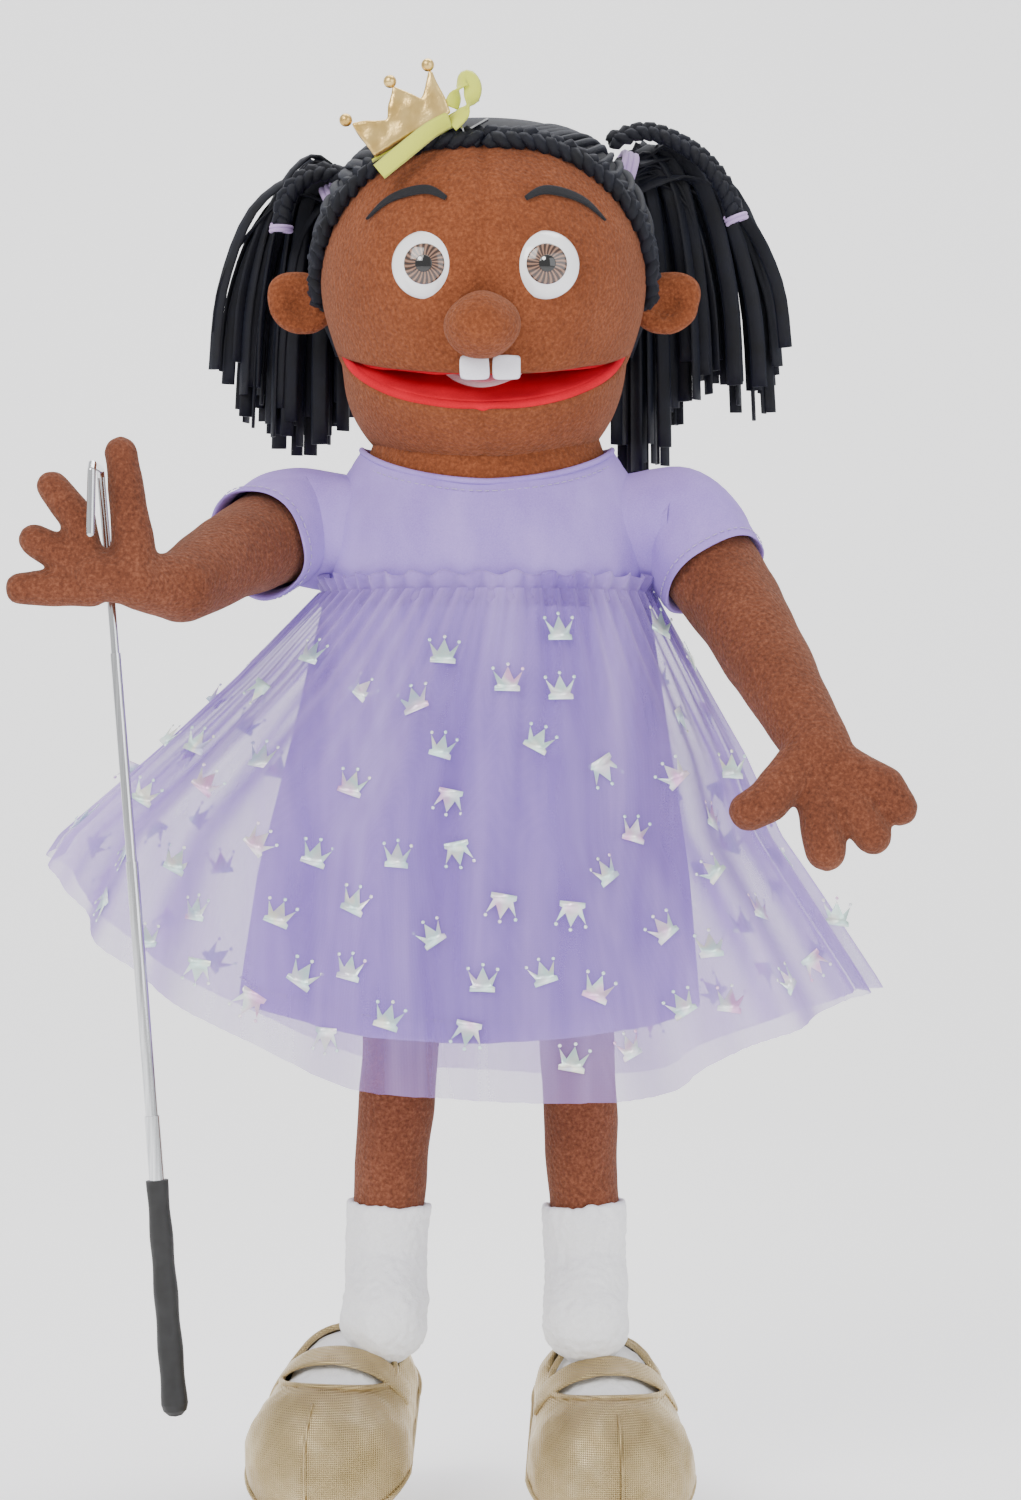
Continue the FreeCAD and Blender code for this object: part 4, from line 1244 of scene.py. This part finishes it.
def dress_limbs():
    """Stuffed arms and legs, socks and shoes; each stands in for its CAD solids and rides its body."""
    for side in (-1, 1):
        word = SIDE_WORD[side]
        arm, leg = "arm_" + word, "leg_" + word
        stand_in("arm_fleece_" + word, ("arm_skin_" + word, "arm_stuffing_" + word), arm, LIMB, 1.6, 8, 0.3,
                 [(16, 0.9, side)])
        stand_in("leg_fleece_" + word, ("leg_skin_" + word, "leg_stuffing_" + word), leg, LIMB, 2.0, 8, 0.2,
                 [(22, 1.2, side * 3)])
        stand_in("sock_plush_" + word, ("sock_" + word,), leg, SOCK, 1.6, 8, 0.8,
                 [(14, 1.4, side), (3.2, 0.7, side)])
        upper = soft_copy("shoe_upper_" + word, "shoe_gold_" + word, GOLD, 1.0, 5, 0.1, 0)
        cut_window(upper, side)
        ripple(ripple(upper, 20, 1.0, side), 7, 0.5, side)
        put(sock_instep(side, word), leg)
        put(upper, leg, "shoe_upper_" + word)
        stand_in("shoe_sole_gold_" + word, ("shoe_sole_" + word,), leg, GOLD, 1.3, 4, 0.0, [], 0)
        put(shoe_strap(side, word), leg, "shoe_strap_" + word)
        put(shoe_seams(side, word), leg)


RIBBON_PATHS = (
    ((-16, -62, 647), (-9, -64, 654), (-6, -65, 663), (-9, -64.5, 668), (-13, -63.5, 663), (-16, -62.5, 655)),
    ((-17, -64, 649), (-26, -68, 643), (-38, -70, 633), (-49, -70, 624)),
)


def crown_clip():
    """The padded crown, its three balls and the ribbon on the clip's lever."""
    stand_in("crown_cushion", ("crown_pad",), "crown", CROWN, 0.7, 3, 0.5, [(7, 0.7, 2)])
    stand_in("crown_balls", ("crown_beads",), "crown", CROWN, 0.5, 2, 0.1, [])
    bm = bmesh.new()
    for places in RIBBON_PATHS:
        path = curve_through([Vector(p) for p in places], 6)
        add_tube(bm, path, [4.2] * len(path), 8, 0.22, Vector((0.5, 0, 1)))
    put(finish_mesh("clip_ribbon_loop", bm, RIBBON), "crown")


# ---------------------------------------------------------------- put together
def build_head():
    put(head_skin(), "head", "head_shell")
    roof = mouth_floor("mouth_roof_plush", UPPER_SLOPE, HEAD_PROFILE, 6.0, -1.0, -3.0)
    put(roof, "head", "upper_mouth_lining")
    for side in (1, -1):
        word = SIDE_WORD[side]
        put(ear(side), "head", "ear_" + word)
        put(eyebrow(side), "head", "eyebrow_" + word)
        white, iris, pupil, shine = eye(side)
        put(white, "head", "eye_white_" + word)
        for piece in (iris, pupil, shine):
            put(piece, "head")
        if side > 0:
            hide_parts("eye_irises")
            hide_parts("eye_pupils")
    nose = blob("nose_ball", Vector((-1.7, -79.5, 552.5)), (17.2, 17.0, 15.4), FACE)
    put(ripple(subdivide(nose), 14, 1.0, 6), "head", "nose")
    put(tooth("tooth_right", -12.0, 1.6), "head", "front_teeth")
    put(tooth("tooth_left", 3.0, 16.0), "head")
    put(hair_cap(), "head", "hair_cap")
    for piece in (cornrows(), hairline_braids()):
        put(piece, "head")


def build_jaw():
    put(jaw_skin(), "jaw", "jaw_shell")
    floor = mouth_floor("mouth_floor_plush", LOWER_SLOPE, JAW_PROFILE, 2.2, 0.0, 3.4)
    put(floor, "jaw", "lower_mouth_lining")
    edge = []
    for i in range(49):
        angle = -177 + 174 * i / 48
        lip = lip_height(angle, LOWER_SLOPE, JAW_PROFILE)
        edge.append(round_head(profile_radius(JAW_PROFILE, lip) - 2.8, math.radians(angle), lip + 2.3))
    put(piping("mouth_lower_rim", edge, 2.5, RED, False), "jaw")
    rim, face = tongue()
    put(rim, "jaw", "tongue")
    put(face, "jaw")


TAIL_PLANS = {
    1: {"strips": ((66, 146), (494, 504, 512, 540, 544, 532, 527, 545), 70),
        "band": ((66, 33, 640), (1, 0.15, -0.35), 11.0),
        "braid": ((60, 24, 655), (76, 23, 660), (92, 22, 655), (106, 21, 645), (116, 20, 631),
                  (121, 20, 617))},
    -1: {"strips": ((68, 131), (522, 527, 514, 513, 516, 528, 540, 552), 60),
         "band": ((-73, 34, 626), (-1, 0.15, -0.5), 10.0),
         "braid": ((64, 24, 634), (78, 22, 640), (90, 21, 636), (98, 20, 626), (100, 20, 612))},
}


def build_hair():
    """The two ponytails, each with its elastic and its thin braid."""
    for side, plan in TAIL_PLANS.items():
        word = SIDE_WORD[side]
        body = "tail_" + word
        put(ponytail(side, *plan["strips"]), body, "ponytail_" + word)
        centre, axis, radius = plan["band"]
        put(ring("band_" + word, Vector(centre), Vector(axis), radius, 1.6, 3.0), body)
        for piece in side_braid(side, plan["braid"]):
            put(piece, body)


BODY_ROWS = ((300, 72, 46), (360, 73, 46), (430, 73, 46), (470, 69, 44.5), (486, 62, 43.5), (497, 58, 43),
             (508, 54, 42), (516, 50, 40))


def body_fleece():
    """The hand sleeve inside the dress and the neck that shows above it."""
    rows = []
    for z, x, y in BODY_ROWS:
        rows.append([Vector((x * math.cos(a), 2 + y * math.sin(a), z)) for a in circle_angles(72)])
    return ripple(subdivide(skin("body_fleece_sleeve", rows, FACE)), 18, 0.8, 4)


def build_body():
    put(body_fleece(), "torso", "body_sleeve")
    neck = blob("neck_fleece", Vector((0, 10, 502)), (54, 37, 17), FACE)
    put(neck, "neck", "neck_sleeve")
    top, neckline = dress_top()
    put(top, "torso", "dress_bodice")
    put(piping("neckline_bound_edge", neckline, 1.5, DRESS), "torso", "neckline_binding")
    below = [p + Vector((0, 0, -4.5)) + Vector((p.x, p.y, 0)).normalized() * 2.0 for p in neckline]
    put(stitches("neckline_stitch", dense(below, 0.6)), "torso")
    for side, elbow in ((-1, Vector((-120, -48, 448))), (1, Vector((116, -24, 430)))):
        word = SIDE_WORD[side]
        cloth, thread = sleeve(side, elbow)
        put(cloth, "arm_" + word, "sleeve_" + word)
        put(thread, "arm_" + word)
    put(waist_gathers(), "torso", "waist_ruffle")
    lining, thread = lining_skirt()
    put(lining, "torso", "skirt_lining")
    put(thread, "torso")
    rows = skirt_rows(TULLE_SECTIONS, TULLE_HEM, 460, 60, 8.0, 15, 0.4, 434)
    put(skin("tulle_skirt", rows, TULLE), "torso", "tulle_overskirt")
    put(foil_crowns(rows, 120), "torso")


def paint(mat, *nodes):
    """Give CAD solids that still show their material."""
    for node in nodes:
        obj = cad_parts[node]
        obj.data.materials.clear()
        obj.data.materials.append(mat)


def paint_hardware():
    paint(STEEL, "rod_hook", "rod_tube_first", "rod_tube_second", "rod_tube_third", "rod_tube_fourth",
          "clip_lower_jaw", "clip_pin", "clip_spring")
    paint(RIBBON, "clip_upper_jaw")
    paint(RUBBER, "rod_grip")
    paint(STUFFING, "head_foam")
    paint(BOARD, "upper_mouth_board", "lower_mouth_board")
    paint(WASHER, "eye_lock_washers")


# ---------------------------------------------------------------- floor, light, camera
CAMERA_ANGLE = 25.36
CAMERA_PLACE = (0.0113, -1.6, 0.3586)


def stage():
    """A pale floor that bends up into a backdrop."""
    rows = []
    profile = ((-2.6, -0.004), (0.9, -0.004), (1.3, 0.03), (1.6, 0.16), (1.78, 0.42), (1.86, 0.8), (1.88, 3.2))
    for y, z in profile:
        rows.append([Vector((x, y, z)) / MM for x in (-3.0, -1.0, 1.0, 3.0)])
    sweep = subdivide(skin("backdrop", rows, pale_floor(), closed=False), 3)


def area_light(name, place, target_z, size, power, colour):
    """A soft rectangular lamp aimed at a height on the puppet's middle line."""
    light = bpy.data.lights.new(name, "AREA")
    light.shape = "RECTANGLE"
    light.size, light.size_y = size
    light.energy = power
    light.color = colour
    obj = bpy.data.objects.new(name, light)
    bpy.context.scene.collection.objects.link(obj)
    obj.location = place
    obj.rotation_euler = (Vector((0, 0, target_z)) - Vector(place)).to_track_quat("-Z", "Y").to_euler()


def lights():
    area_light("key", (-1.1, -1.7, 1.7), 0.36, (1.2, 1.2), 40, (1.0, 0.98, 0.95))
    area_light("fill", (1.4, -1.5, 0.9), 0.34, (1.4, 1.4), 15, (0.96, 0.98, 1.0))
    area_light("top", (0.1, 0.35, 1.9), 0.4, (1.4, 0.9), 22, (1.0, 1.0, 1.0))
    world = bpy.data.worlds.new("studio")
    world.use_nodes = True
    back = world.node_tree.nodes["Background"]
    back.inputs["Color"].default_value = (1.0, 1.0, 1.0, 1.0)
    back.inputs["Strength"].default_value = 0.85
    bpy.context.scene.world = world


def camera():
    """A level camera in front of the puppet, framed like the photograph."""
    cam = bpy.data.cameras.new("camera")
    cam.sensor_fit = "VERTICAL"
    cam.angle = math.radians(CAMERA_ANGLE)
    obj = bpy.data.objects.new("camera", cam)
    bpy.context.scene.collection.objects.link(obj)
    obj.location = CAMERA_PLACE
    obj.rotation_euler = (math.radians(90), 0, 0)
    bpy.context.scene.camera = obj


build_body()
build_head()
build_jaw()
build_hair()
dress_limbs()
crown_clip()
paint_hardware()
stage()
lights()
camera()
